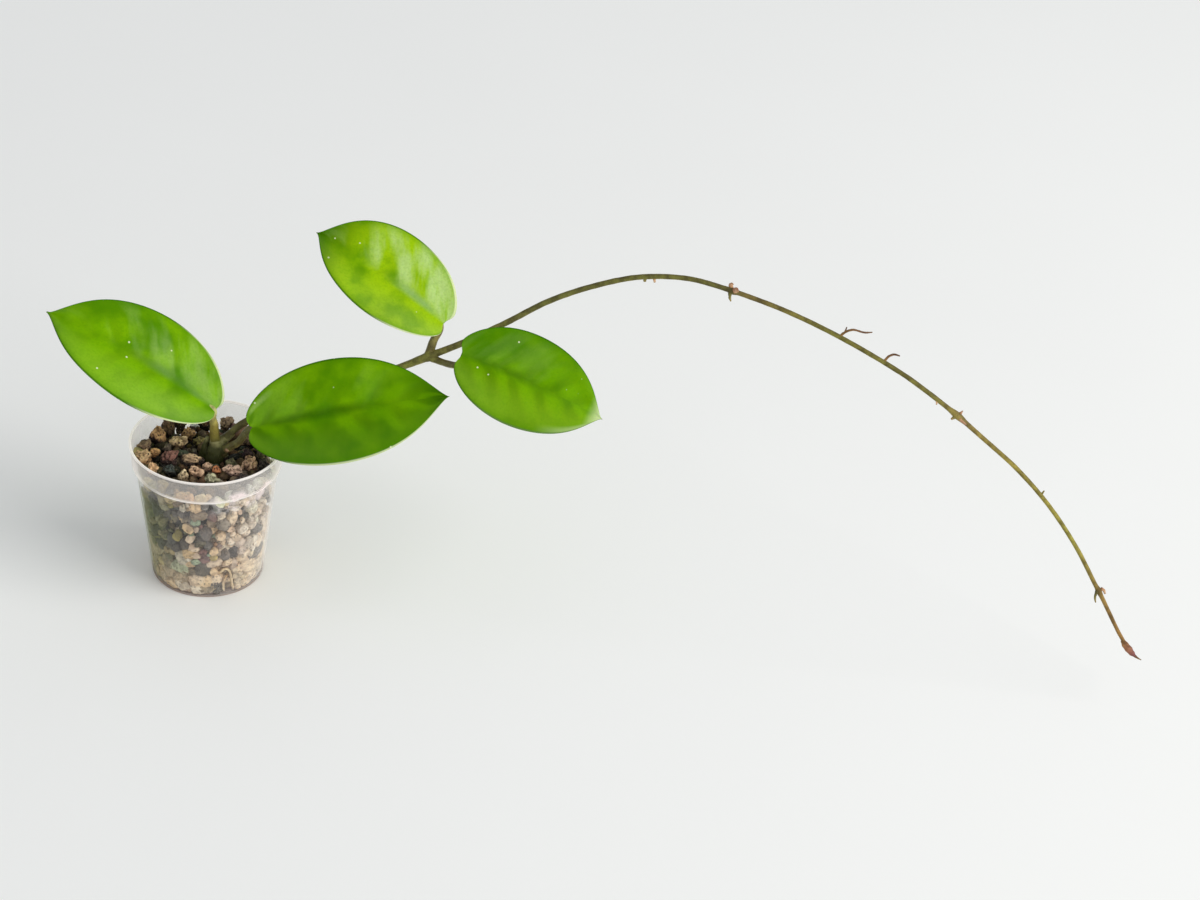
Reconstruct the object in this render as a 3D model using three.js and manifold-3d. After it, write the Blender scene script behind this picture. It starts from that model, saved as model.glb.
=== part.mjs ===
// A young hoya rooted in coarse grit in a small frosted nursery pot. Lengths are millimetres.
// +Z is up and the origin is the centre of the pot's foot. +X runs towards the far end of the
// long bare shoot, and -Y is the side that shows the faces of the leaves.

import * as THREE from 'three';
import { mergeVertices } from 'three/addons/utils/BufferGeometryUtils.js';
import Module from 'manifold-3d';

const wasm = await Module();
wasm.setup();

const GAP = 0.3; // clear space between neighbouring pieces

const POT = {
  facets: 44,
  height: 63.6,
  footRadius: 23.3,
  footRound: 1.3,
  shoulderRadius: 29.4, // outer radius under the collar
  shoulderHeight: 51.2,
  collarRadius: 31.2, // outer radius at the bottom of the collar
  collarHeight: 54.6,
  rimRadius: 32.5,
  lipWidth: 1.6,
  lipHeight: 1.5,
  lipRound: 0.3,
  lipOverhang: 0.4, // how far the lip stands out from the wall
  wall: 1.0,
  floor: 1.2,
  drainCount: 6,
  drainRadius: 2.2,
  drainCircle: 13,
};

const BED = {
  facets: 32,
  top: 54.2, // height of the grit under the loose top stones
  relief: 0.5,
  heap: 1.0, // how much higher the grit stands at the back left
  topRings: [0.985, 0.66, 0.33, 0], // radii of the top's rings, as shares of the room
};

const ROOT = { radius: 0.75, thickening: 1.3, hubRadius: 2.0 };

const TUBE_BLUNTNESS = 0.6; // how far a tube's end stands out, as a share of its radius

// The main shoot, from the buried crown over its arch to the bud: x, y, z and radius.
const SHOOT = [
  [2.0, 1.2, 49.0, 2.4],
  [2.6, 1.2, 53.0, 3.7],
  [3.9, 1.3, 57.4, 3.5],
  [5.9, 1.9, 62.0, 2.2],
  [10.4, 3.0, 67.2, 1.6],
  [15.9, 4.2, 71.9, 1.5],
  [45.0, 10.4, 85.4, 1.4],
  [77.9, 14.8, 97.6, 1.4],
  [86.6, 15.8, 101.8, 1.6],
  [89.5, 16.0, 103.3, 2.1],
  [93.4, 16.2, 105.4, 1.35],
  [101.9, 16.9, 109.8, 1.3],
  [119.8, 17.9, 120.9, 1.25],
  [136.6, 18.2, 132.6, 1.2],
  [154.4, 17.9, 141.6, 1.15],
  [173.0, 17.0, 148.1, 1.1],
  [192.3, 15.4, 150.0, 1.05],
  [207.5, 13.7, 147.7, 1.05],
  [210.2, 13.4, 147.1, 1.45],
  [213.5, 13.0, 146.4, 1.0],
  [229.8, 10.4, 142.5, 1.0],
  [247.9, 7.0, 136.8, 1.0],
  [265.7, 3.0, 130.0, 1.0],
  [283.1, -1.4, 122.3, 1.0],
  [299.6, -6.1, 113.0, 1.0],
  [304.6, -7.5, 109.9, 1.5],
  [309.0, -9.0, 107.0, 1.0],
  [315.4, -11.1, 102.7, 0.95],
  [330.9, -16.4, 92.1, 0.95],
  [345.2, -21.8, 79.2, 0.9],
  [357.8, -26.8, 64.1, 0.9],
  [367.6, -30.9, 49.2, 0.9],
  [369.4, -31.6, 46.6, 1.2],
  [371.3, -32.4, 43.6, 0.9],
  [380.0, -36.3, 29.6, 0.8],
  [382.0, -37.6, 27.0, 0.8],
];

// Swellings of the crown beside the main shoot: x, y, z and radius.
const CROWN_LUMPS = [
  [-0.8, 1.8, 55.6, 3.0],
  [6.4, 0.2, 58.4, 2.6],
];

// Roots, from under the crown to their ends. The first one loops forward against the wall.
const ROOTS = [
  [[2, 1.2, 46.5], [2, -6, 36], [2, -12, 22], [2.6, -16.0, 9], [4.4, -19.0, 4.8], [6.2, -20.6, 9.6],
    [8.3, -20.8, 13.4], [10.4, -19.6, 9.6], [11.0, -17.9, 4.2]],
  [[2, 1.2, 46.5], [-6, 6, 34], [-14, 9, 20], [-17, 11, 8]],
  [[2, 1.2, 46.5], [10, 8, 36], [17, 10, 24], [18, 6, 11]],
  [[2, 1.2, 46.5], [-5, -6, 38], [-12, -13, 28], [-14, -16, 16]],
];

// Each leaf: blade length and width, how far its midrib bends down, its bow to one side as a share
// of the length, how its outline swells at the base (p) and narrows at the tip (q), the share by
// which its left half is wider, its attitude (yaw, tip-up pitch and roll, in degrees), the place of
// the blade's base, and the petiole's start and middle points.
const LEAVES = [
  {
    name: 'leaf_1', length: 77, width: 46.3, bend: 22, bow: 0.014, p: 0.52, q: 0.655, asym: -0.013,
    fold: 9.5, yaw: 178, pitch: 37, roll: -24, base: [3.2, 2.3, 79.0],
    petiole: [[2.9, 0.6, 60.5], [2.8, 0.2, 69.0]], petioleRadii: [1.9, 1.15, 0.95],
  },
  {
    name: 'leaf_2', length: 81, width: 44, bend: 20.5, bow: -0.028, p: 0.51, q: 0.633, asym: 0,
    fold: 9, yaw: -6, pitch: 24, roll: 50, base: [18.8, -5.4, 74.9],
    petiole: [[6.8, -0.6, 59.6], [13.4, -3.4, 66.8]], petioleRadii: [1.9, 1.6, 1.3],
  },
  {
    name: 'leaf_3', length: 62, width: 43, bend: 22, bow: 0.011, p: 0.5, q: 0.62, asym: -0.067,
    fold: 9, yaw: 169.5, pitch: 37, roll: -27, base: [94.2, 22.4, 116.8],
    petiole: [[89.6, 16.6, 104.2], [91.6, 18.6, 109.6]], petioleRadii: [1.7, 1.25, 1.1],
  },
  {
    name: 'leaf_4', length: 62, width: 40.5, bend: 18.6, bow: 0, p: 0.47, q: 0.671, asym: -0.015,
    fold: 7.5, yaw: -13.6, pitch: -13, roll: 37.5, base: [103.6, 4.0, 113.9],
    petiole: [[90.4, 14.8, 103.2], [97.2, 7.4, 105.4]], petioleRadii: [1.6, 1.2, 1.1],
  },
];

// Where every petiole runs under its blade, in the blade's own frame.
const PETIOLE_JOIN = [[-0.6, 0, -1.0], [4.5, 0, -1.2]];

const BLADE = {
  alongSteps: 14,
  acrossSteps: 6,
  middleThickness: 1.7,
  edgeThickness: 1.0,
  crown: 0.1, // how much the cross-section arches, as a share of half the width
  tipNarrowing: 0.4, // share of the width lost at the drawn-out tip
  tipStart: 0.86, // share of the length where the drawn-out tip begins
  lobe: 2.0, // how far the two basal lobes reach behind the petiole
  lobeStart: 0.008,
};

// Small outgrowths of the shoot: route points, and the radii at the start and the end.
const OUTGROWTHS = [
  { name: 'crown_bud', route: [[12.6, 0.4, 67.0], [16.4, -1.6, 70.8]], radii: [1.3, 0.9] },
  {
    name: 'aerial_root_1',
    route: [
      [254.2, 5.5, 134.4],
      [256.6, 6.2, 136.6],
      [259.5, 6.9, 137.5],
      [264.3, 6.5, 136.9],
      [267.3, 6.7, 137.2],
    ],
    radii: [0.55, 0.35],
  },
  {
    name: 'aerial_root_2',
    route: [[272.8, 1.2, 126.8], [274.6, 2.0, 129.2], [276.8, 2.8, 130.0], [279.1, 2.6, 129.7]],
    radii: [0.55, 0.35],
  },
  { name: 'node_3_bud', route: [[209.4, 14.0, 147.6], [209.2, 15.2, 149.8]], radii: [0.8, 0.4] },
  { name: 'node_3_spur', route: [[209.2, 12.9, 146.4], [209.4, 11.0, 143.8]], radii: [0.7, 0.4] },
  { name: 'node_4_stub', route: [[303.6, -7.8, 109.6], [300.6, -9.6, 108.2]], radii: [0.9, 0.6] },
  { name: 'node_4_bud', route: [[305.6, -6.8, 110.6], [307.0, -5.8, 112.4]], radii: [0.7, 0.4] },
  { name: 'node_5_spur', route: [[368.6, -32.2, 46.6], [367.6, -34.2, 42.8]], radii: [0.7, 0.4] },
  { name: 'node_5_scale', route: [[370.4, -31.2, 47.2], [372.8, -31.2, 46.4]], radii: [0.8, 0.5] },
];

const TIP_BUD = [
  [382.0, -37.7, 26.6, 0.9],
  [384.2, -39.2, 24.2, 1.35],
  [386.4, -40.4, 22.4, 1.0],
  [388.4, -41.3, 21.4, 0.45],
  [390.0, -41.8, 20.9, 0.3],
];

const FROSTED = 0xe4e2dc;
const LEAF_GREEN = 0x5f9a26;
const SHOOT_OLIVE = 0x77763a;
const YOUNG_ROOT = 0x8a6a4a;
const ROOT_TAN = 0xc2a878;
const BUD_PURPLE = 0x5a4148;
const GRIT_BROWN = 0x8a765f;
const TAN = 0xb49a76;
const PINK_TAN = 0xc4a088;
const PURPLE = 0x6b5355;
const BROWN = 0x6f5c49;
const OLIVE = 0x6d6a4c;
const CHARCOAL = 0x3a3838;

// Loose stones on top of the grit: centre, half sizes, turn about Z in degrees, and colour.
const STONES = [
  [-22.2, 9.7, 57.4, 3.4, 3.2, 4.2, 20, PURPLE],
  [-19.0, 16.0, 57.6, 2.7, 2.8, 3.4, 50, BROWN],
  [-27.0, 2.6, 56.9, 3.0, 2.8, 2.6, 10, BROWN],
  [-14.4, 20.4, 57.2, 2.9, 2.7, 2.7, 0, BROWN],
  [-12.8, 7.2, 56.6, 3.8, 3.2, 2.6, 35, TAN],
  [-25.6, -6.4, 56.8, 2.9, 3.1, 2.7, 70, TAN],
  [-15.4, -3.8, 56.2, 3.2, 3.6, 3.4, 15, PURPLE],
  [-5.8, -3.8, 56.0, 4.3, 2.9, 2.8, 5, BROWN],
  [17.9, -3.8, 56.0, 2.9, 3.1, 3.2, 40, PINK_TAN],
  [-2.4, -12.0, 56.0, 3.1, 2.6, 2.4, 12, PINK_TAN],
  [11.8, -9.4, 55.8, 3.7, 2.5, 2.3, 0, PINK_TAN],
  [-9.6, 14.2, 56.0, 2.6, 2.5, 2.4, 60, TAN],
  [-7.6, -14.6, 55.8, 2.1, 2.6, 2.4, 25, TAN],
  [4.4, -16.4, 55.8, 3.0, 2.4, 2.2, 8, OLIVE],
  [-21.0, -2.0, 57.0, 2.0, 1.9, 2.2, 30, TAN],
  [-17.6, 2.8, 56.0, 2.0, 2.0, 2.2, 0, BROWN],
  [-20.4, -12.6, 56.0, 2.2, 2.2, 2.2, 45, PINK_TAN],
  [-13.6, -11.6, 55.4, 3.2, 2.6, 2.1, 20, CHARCOAL],
  [1.2, -7.6, 55.6, 2.0, 1.9, 1.9, 0, PINK_TAN],
  [5.4, -10.6, 55.6, 1.9, 1.9, 1.9, 75, PURPLE],
  [10.6, -3.8, 54.8, 2.6, 2.0, 2.0, 15, OLIVE],
  [22.4, 2.6, 56.0, 2.2, 2.2, 2.2, 0, OLIVE],
  [24.4, -4.4, 55.8, 2.4, 2.6, 2.3, 30, CHARCOAL],
  [16.0, 5.2, 54.8, 2.5, 2.4, 2.2, 55, PURPLE],
  [4.9, 22.6, 57.0, 2.5, 2.5, 2.5, 0, BROWN],
  [-4.3, 21.8, 56.6, 2.8, 2.5, 2.6, 20, BROWN],
  [-4.6, 10.4, 55.6, 2.6, 2.2, 2.0, 0, OLIVE],
  [3.0, 15.4, 55.6, 2.6, 2.7, 2.3, 40, BROWN],
  [16.4, 12.4, 56.0, 2.9, 2.8, 2.6, 10, BROWN],
  [22.6, 8.8, 56.2, 2.4, 2.6, 2.4, 65, TAN],
  [12.2, 20.2, 56.4, 2.9, 2.6, 2.6, 30, TAN],
  [16.6, -14.6, 55.4, 2.8, 2.5, 2.2, 0, CHARCOAL],
];

const STONE_ROUGHNESS = 0.22; // how far a stone's corners stand in or out, as a share of its size

const vector = (point) => new THREE.Vector3(point[0], point[1], point[2]);
const mix = (from, to, share) => from + (to - from) * share;
const smooth = (share) => share * share * (3 - 2 * share);
const clamp01 = (value) => Math.min(1, Math.max(0, value));

// A closed geometry as a solid, with its shared corners merged by place alone.
function solidOf(geometry) {
  const bare = geometry.clone();
  bare.deleteAttribute('normal');
  bare.deleteAttribute('uv');
  const merged = mergeVertices(bare, 1e-4);
  return new wasm.Manifold(new wasm.Mesh({
    numProp: 3,
    vertProperties: merged.attributes.position.array,
    triVerts: new Uint32Array(merged.index.array),
  }));
}

function geometryOf(solid) {
  const mesh = solid.getMesh();
  const geometry = new THREE.BufferGeometry();
  geometry.setAttribute('position', new THREE.BufferAttribute(mesh.vertProperties, 3));
  geometry.setIndex(new THREE.BufferAttribute(mesh.triVerts, 1));
  geometry.computeVertexNormals();
  return geometry;
}

const joined = (solids) => solids.reduce((whole, next) => whole.add(next));

// The largest body of a cut solid, without the crumbs that a cut may leave.
function largestBody(solid) {
  const bodies = solid.decompose();
  return bodies.reduce((best, next) => (next.volume() > best.volume() ? next : best));
}

function geometryFrom(positions, triangles) {
  const geometry = new THREE.BufferGeometry();
  geometry.setAttribute('position', new THREE.Float32BufferAttribute(positions, 3));
  geometry.setIndex(triangles);
  return geometry;
}

// A closed tube that narrows and swells along its route, with a blunt point at each end.
// Each route point is x, y, z and radius; grow makes the tube fatter all round.
function taperedTube(route, grow = 0, sides = 7, ringsPerSpan = 2) {
  const curve = new THREE.CatmullRomCurve3(route.map(vector), false, 'centripetal');
  const spans = route.length - 1;
  const rings = spans * ringsPerSpan;
  const side = new THREE.Vector3(0, 1, 0); // carried along the route without twisting
  const positions = [];
  const triangles = [];
  const place = (point) => positions.push(point.x, point.y, point.z);
  for (let ring = 0; ring <= rings; ring += 1) {
    const t = ring / rings;
    const span = Math.min(spans - 1, Math.floor(t * spans));
    const radius = mix(route[span][3], route[span + 1][3], t * spans - span) + grow;
    const along = curve.getTangent(t);
    side.addScaledVector(along, -side.dot(along)).normalize();
    const over = new THREE.Vector3().crossVectors(along, side);
    for (let corner = 0; corner < sides; corner += 1) {
      const angle = (corner / sides) * 2 * Math.PI;
      const point = curve.getPoint(t)
        .addScaledVector(side, radius * Math.cos(angle))
        .addScaledVector(over, radius * Math.sin(angle));
      place(point);
    }
  }
  for (const t of [0, 1]) {
    const out = (t === 0 ? -TUBE_BLUNTNESS : TUBE_BLUNTNESS) * (route[t * spans][3] + grow);
    place(curve.getPoint(t).addScaledVector(curve.getTangent(t), out));
  }
  const start = (rings + 1) * sides;
  const end = start + 1;
  for (let corner = 0; corner < sides; corner += 1) {
    const next = (corner + 1) % sides;
    for (let ring = 0; ring < rings; ring += 1) {
      const near = ring * sides;
      const far = near + sides;
      triangles.push(near + corner, near + next, far + next);
      triangles.push(near + corner, far + next, far + corner);
    }
    const last = rings * sides;
    triangles.push(start, next, corner);
    triangles.push(end, last + corner, last + next);
  }
  return solidOf(geometryFrom(positions, triangles));
}

// A route whose radius runs evenly from the first to the last of the radii.
function withRadii(points, radii) {
  return points.map((point, i) => {
    const place = (i / (points.length - 1)) * (radii.length - 1);
    const low = Math.min(radii.length - 2, Math.floor(place));
    return [...point, mix(radii[low], radii[low + 1], place - low)];
  });
}

function ball(x, y, z, radius) {
  const geometry = new THREE.IcosahedronGeometry(radius, 1);
  geometry.translate(x, y, z);
  return solidOf(geometry);
}

// A solid of revolution about Z from a profile of radius and height.
function turned(profile, facets) {
  const geometry = new THREE.LatheGeometry(profile.map(([r, z]) => new THREE.Vector2(r, z)), facets);
  geometry.rotateX(Math.PI / 2);
  return geometry;
}

// Outer radius of the pot's wall at a height, under its lip.
function potRadius(height) {
  if (height < POT.shoulderHeight) {
    return mix(POT.footRadius, POT.shoulderRadius, height / POT.shoulderHeight);
  }
  if (height < POT.collarHeight) {
    const share = (height - POT.shoulderHeight) / (POT.collarHeight - POT.shoulderHeight);
    return mix(POT.shoulderRadius, POT.collarRadius, Math.sin((share * Math.PI) / 2));
  }
  const share = (height - POT.collarHeight) / (POT.height - POT.collarHeight);
  return mix(POT.collarRadius, POT.rimRadius - POT.lipOverhang, share);
}

function pot() {
  const { height, footRadius, footRound, lipHeight, lipRound, rimRadius, wall, floor } = POT;
  const lipInside = rimRadius - POT.lipWidth;
  const shoulderSteps = [0, 0.5, 1];
  const shoulder = shoulderSteps.map((s) => mix(POT.shoulderHeight, POT.collarHeight, s));
  const levels = [footRound, ...shoulder, height - lipHeight];
  const outside = levels.map((z) => [potRadius(z), z]);
  const insideLevels = [floor + footRound, ...shoulder, height - lipHeight];
  const inside = insideLevels.map((z) => [potRadius(z) - wall, z]).reverse();
  const shell = solidOf(turned([
    [0, 0],
    [footRadius - footRound, 0],
    [footRadius - footRound * 0.3, footRound * 0.3],
    ...outside,
    [rimRadius, height - lipHeight + lipRound],
    [rimRadius, height - lipRound],
    [rimRadius - lipRound, height],
    [lipInside + lipRound, height],
    [lipInside, height - lipRound],
    ...inside,
    [footRadius - footRound - wall, floor],
    [0, floor],
  ], POT.facets));
  const holes = [];
  for (let i = 0; i < POT.drainCount; i += 1) {
    const angle = ((i + 0.5) / POT.drainCount) * 2 * Math.PI;
    const hole = new THREE.CylinderGeometry(POT.drainRadius, POT.drainRadius, 4 * floor, 16);
    hole.rotateX(Math.PI / 2);
    hole.translate(POT.drainCircle * Math.cos(angle), POT.drainCircle * Math.sin(angle), 0);
    holes.push(solidOf(hole));
  }
  return shell.subtract(joined(holes));
}

// Everything inside the pot's wall, up to a height, with a gap to the wall all round.
function potInside(top, gap) {
  const inner = (z) => [potRadius(z) - POT.wall - gap, z];
  const bottom = POT.floor + gap;
  const midShoulder = mix(POT.shoulderHeight, POT.collarHeight, 0.5);
  const levels = [bottom + POT.footRound, 26, POT.shoulderHeight, midShoulder];
  const lid = Math.min(top, POT.height);
  return turned([
    [0, bottom],
    [POT.footRadius - POT.footRound - POT.wall - gap, bottom],
    ...levels.map(inner),
    ...BED.topRings.map((share) => [share * inner(lid)[0], lid]),
  ], BED.facets);
}

// The grit fills the pot. Its top rolls a little and stands highest at the back left.
function grit() {
  const geometry = potInside(BED.top, GAP);
  const place = geometry.attributes.position;
  for (let i = 0; i < place.count; i += 1) {
    const x = place.getX(i);
    const y = place.getY(i);
    if (place.getZ(i) > BED.top - 0.01) {
      const ripple = Math.sin(0.71 * x + 1.3) * Math.cos(0.63 * y - 0.4);
      const slope = clamp01((y - x) / 60);
      place.setZ(i, BED.top + BED.relief * ripple + BED.heap * slope);
    }
  }
  return solidOf(geometry);
}

function shoot(grow = 0) {
  const lumps = CROWN_LUMPS.map(([x, y, z, radius]) => ball(x, y, z, radius + grow));
  return joined([taperedTube(SHOOT, grow), ...lumps]);
}

function roots(grow = 0) {
  const radii = [ROOT.radius * ROOT.thickening, ROOT.radius];
  const tubes = ROOTS.map((points) => taperedTube(withRadii(points, radii), grow, 5, 2));
  return joined([ball(...ROOTS[0][0], ROOT.hubRadius + grow), ...tubes]);
}

// Half the blade's width at a share of its length, as a share of half its greatest width.
function bladeOutline(leaf, share) {
  const { p, q } = leaf;
  const widest = p / (p + q);
  const swell = (s) => s ** p * (1 - s) ** q;
  const tip = smooth(clamp01((share - BLADE.tipStart) / (1 - BLADE.tipStart)));
  return (swell(share) / swell(widest)) * (1 - BLADE.tipNarrowing * tip);
}

// A point of the blade's middle surface in the leaf's own frame: X along the midrib, Z up.
function bladePoint(leaf, share, across) {
  const bend = THREE.MathUtils.degToRad(leaf.bend);
  const fold = THREE.MathUtils.degToRad(leaf.fold);
  const half = (bladeOutline(leaf, share) * leaf.width) / 2;
  const reach = half * (1 + leaf.asym * Math.sign(across));
  const lobe = BLADE.lobe * Math.abs(across) ** 1.5 * (1 - share) ** 8
    * clamp01(share / BLADE.lobeStart);
  const along = (leaf.length * Math.sin(bend * share)) / bend;
  const drop = (leaf.length * (1 - Math.cos(bend * share))) / bend;
  const arch = (BLADE.crown * (reach * across) ** 2) / (leaf.width / 2);
  return new THREE.Vector3(
    along - lobe,
    leaf.bow * leaf.length * share ** 2 + reach * across * Math.cos(fold),
    reach * Math.abs(across) * Math.sin(fold) - arch - drop,
  );
}

function leafFrame(leaf) {
  const [yaw, pitch, roll] = [leaf.yaw, leaf.pitch, leaf.roll].map(THREE.MathUtils.degToRad);
  const turn = new THREE.Matrix4().makeRotationFromEuler(new THREE.Euler(roll, -pitch, yaw, 'ZYX'));
  return turn.setPosition(...leaf.base);
}

// The blade is two skins over its middle surface, closed round the margin.
function blade(leaf) {
  const { alongSteps, acrossSteps } = BLADE;
  const columns = acrossSteps + 1;
  const layer = (alongSteps + 1) * columns;
  const positions = [];
  const triangles = [];
  for (const face of [0.5, -0.5]) {
    for (let i = 0; i <= alongSteps; i += 1) {
      const share = (1 - Math.cos((i / alongSteps) * Math.PI)) / 2;
      for (let j = 0; j < columns; j += 1) {
        const across = (2 * j) / acrossSteps - 1;
        const body = (1 - across ** 2) * bladeOutline(leaf, share);
        const thickness = mix(BLADE.edgeThickness, BLADE.middleThickness, body);
        const point = bladePoint(leaf, share, across);
        point.z += face * thickness;
        positions.push(point.x, point.y, point.z);
      }
    }
  }
  for (let i = 0; i < alongSteps; i += 1) {
    for (let j = 0; j < acrossSteps; j += 1) {
      const a = i * columns + j;
      const b = a + columns;
      if (i < alongSteps - 1) {
        triangles.push(a, b, b + 1);
        triangles.push(layer + a, layer + b + 1, layer + b);
      }
      if (i > 0) {
        triangles.push(a, b + 1, a + 1);
        triangles.push(layer + a, layer + a + 1, layer + b + 1);
      }
    }
    const right = i * columns;
    const left = right + acrossSteps;
    triangles.push(right, layer + right, layer + right + columns);
    triangles.push(right, layer + right + columns, right + columns);
    triangles.push(left, layer + left + columns, layer + left);
    triangles.push(left, left + columns, layer + left + columns);
  }
  const geometry = geometryFrom(positions, triangles);
  geometry.applyMatrix4(leafFrame(leaf));
  return solidOf(geometry);
}

function petiole(leaf, grow = 0) {
  const frame = leafFrame(leaf);
  const joins = PETIOLE_JOIN.map((point) => vector(point).applyMatrix4(frame).toArray());
  return taperedTube(withRadii([...leaf.petiole, ...joins], leaf.petioleRadii), grow);
}

// A stone is a rough ball stretched to its half sizes; grow makes it bigger all round.
function stone([x, y, z, rx, ry, rz, turn], index, grow = 0) {
  const geometry = new THREE.IcosahedronGeometry(1, 1);
  const place = geometry.attributes.position;
  const corner = new THREE.Vector3();
  const size = new THREE.Vector3(rx + grow, ry + grow, rz + grow);
  const axis = new THREE.Vector3(0, 0, 1);
  for (let i = 0; i < place.count; i += 1) {
    corner.fromBufferAttribute(place, i);
    const swing = Math.sin(2.7 * corner.x + 1.9 * index)
      * Math.cos(3.3 * corner.y - 0.8 * index) * Math.sin(2.1 * corner.z + 2.3 * index + 1);
    corner.multiplyScalar(1 + STONE_ROUGHNESS * swing).multiply(size);
    corner.applyAxisAngle(axis, THREE.MathUtils.degToRad(turn));
    place.setXYZ(i, corner.x + x, corner.y + y, corner.z + z);
  }
  return solidOf(geometry);
}

const plant = new THREE.Group();

function addPiece(name, solid, color, roughness, extra = {}) {
  const material = new THREE.MeshStandardMaterial({ color, roughness, metalness: 0, ...extra });
  const mesh = new THREE.Mesh(geometryOf(solid), material);
  mesh.name = name;
  plant.add(mesh);
}

addPiece('pot', pot(), FROSTED, 0.35, { transparent: true, opacity: 0.4 });

const grownShoot = shoot(GAP);
addPiece('main_shoot', shoot(), SHOOT_OLIVE, 0.5);

for (const leaf of LEAVES) {
  const whole = blade(leaf).add(petiole(leaf));
  addPiece(leaf.name, largestBody(whole.subtract(grownShoot)), LEAF_GREEN, 0.3);
}

const grownPetioles = joined(LEAVES.map((leaf) => petiole(leaf, GAP)));
for (const { name, route, radii } of OUTGROWTHS) {
  const growth = taperedTube(withRadii(route, radii), 0, 5, 1);
  addPiece(name, largestBody(growth.subtract(grownShoot.add(grownPetioles))), YOUNG_ROOT, 0.6);
}
const bud = taperedTube(TIP_BUD, 0, 6, 1);
addPiece('tip_bud', largestBody(bud.subtract(grownShoot)), BUD_PURPLE, 0.5);

addPiece('roots', largestBody(roots().subtract(grownShoot)), ROOT_TAN, 0.7);

// Each stone is cut to clear the plant, the pot and the stones placed before it, and the grit is
// cut to cradle them all.
const inside = solidOf(potInside(POT.height, GAP));
let taken = joined([grownShoot, grownPetioles, roots(GAP)]);
STONES.forEach((spec, index) => {
  const label = `stone_${String(index + 1).padStart(2, '0')}`;
  const cut = stone(spec, index).subtract(taken).intersect(inside);
  addPiece(label, largestBody(cut), spec[7], 0.9);
  taken = taken.add(stone(spec, index, GAP));
});
addPiece('grit', largestBody(grit().subtract(taken)), GRIT_BROWN, 0.95);

export default plant;
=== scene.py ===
import math

import bmesh
import bpy
import numpy as np
from mathutils import Matrix, Vector


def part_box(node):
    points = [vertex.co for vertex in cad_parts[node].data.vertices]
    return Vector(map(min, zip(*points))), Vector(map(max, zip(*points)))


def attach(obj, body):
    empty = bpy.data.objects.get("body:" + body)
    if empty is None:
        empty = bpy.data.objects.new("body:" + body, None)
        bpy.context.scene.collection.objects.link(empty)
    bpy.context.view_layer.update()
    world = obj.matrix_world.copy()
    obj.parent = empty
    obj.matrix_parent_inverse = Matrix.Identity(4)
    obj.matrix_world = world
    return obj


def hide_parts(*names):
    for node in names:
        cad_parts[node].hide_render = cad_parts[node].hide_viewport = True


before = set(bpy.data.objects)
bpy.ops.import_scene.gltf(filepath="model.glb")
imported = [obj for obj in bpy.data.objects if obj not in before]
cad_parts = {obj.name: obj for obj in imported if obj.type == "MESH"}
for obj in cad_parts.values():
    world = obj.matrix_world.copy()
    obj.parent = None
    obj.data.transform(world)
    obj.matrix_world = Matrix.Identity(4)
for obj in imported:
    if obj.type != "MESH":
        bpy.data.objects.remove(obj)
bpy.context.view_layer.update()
mm = 0.001
print("frame loaded with", len(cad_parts), "nodes")

shot = {
    "place": (0.1622, -1.0158, 0.7499),
    "lookDown": 33.62,  # degrees below level
    "roll": 4.63,
    "lens": 88.98,
    "sensor": 36.0,
}


# Camera: X runs right, Y up and -Z ahead, turned down and then rolled about the line of sight.
def placeCamera():
    down, roll = math.radians(shot["lookDown"]), math.radians(shot["roll"])
    ahead = np.array([0, math.cos(down), -math.sin(down)])
    levelUp = np.array([0, math.sin(down), math.cos(down)])
    right = math.cos(roll) * np.array([1, 0, 0]) + math.sin(roll) * levelUp
    up = math.cos(roll) * levelUp - math.sin(roll) * np.array([1, 0, 0])
    lens = bpy.data.cameras.new("camera")
    lens.lens = shot["lens"]
    lens.sensor_width = shot["sensor"]
    camera = bpy.data.objects.new("camera", lens)
    bpy.context.scene.collection.objects.link(camera)
    turn = Matrix([list(row) for row in np.stack([right, up, -ahead], axis=1)])
    camera.matrix_world = Matrix.Translation(shot["place"]) @ turn.to_4x4()
    bpy.context.scene.camera = camera


placeCamera()


# A hex colour as the linear numbers that shaders use.
def tint(hexColour):
    parts = np.array([int(hexColour[i:i + 2], 16) for i in (1, 3, 5)]) / 255
    linear = np.where(parts <= 0.04045, parts / 12.92, ((parts + 0.055) / 1.055) ** 2.4)
    return (*linear.tolist(), 1.0)


# Smooth step from 0 to 1 as a value goes from low to high: t t (3 - 2 t).
def smoothRamp(value, low, high):
    share = np.clip((value - low) / (high - low), 0, 1)
    return share * share * (3 - 2 * share)


# Each vector over its own length.
def unit(vectors):
    return vectors / np.linalg.norm(vectors, axis=-1, keepdims=True)


# A new node, laid out in rows of ten in the node editor.
def addNode(tree, kind, **settings):
    node = tree.nodes.new(kind)
    row, column = divmod(len(tree.nodes), 10)
    node.location = (220 * column, -340 * row)
    for key, value in settings.items():
        setattr(node, key, value)
    return node


# Links a socket to another's output, or sets it to a plain value.
def feed(socket, value):
    if isinstance(value, bpy.types.NodeSocket):
        socket.id_data.links.new(value, socket)
    else:
        socket.default_value = value


# Feeds a node's inputs by name, with _ for a space.
def setInputs(node, **values):
    for key, value in values.items():
        feed(node.inputs[key.replace("_", " ")], value)


# The node tree of the first socket among the values.
def treeOf(*values):
    return next(value.id_data for value in values if isinstance(value, bpy.types.NodeSocket))


# The first colour turned into the second by a factor, in one of Blender's ways of mixing.
def mixed(factor, first, second, how="MIX"):
    node = addNode(treeOf(factor, first, second), "ShaderNodeMix", data_type="RGBA", blend_type=how)
    for index, value in ((0, factor), (6, first), (7, second)):
        feed(node.inputs[index], value)
    return node.outputs[2]


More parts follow.
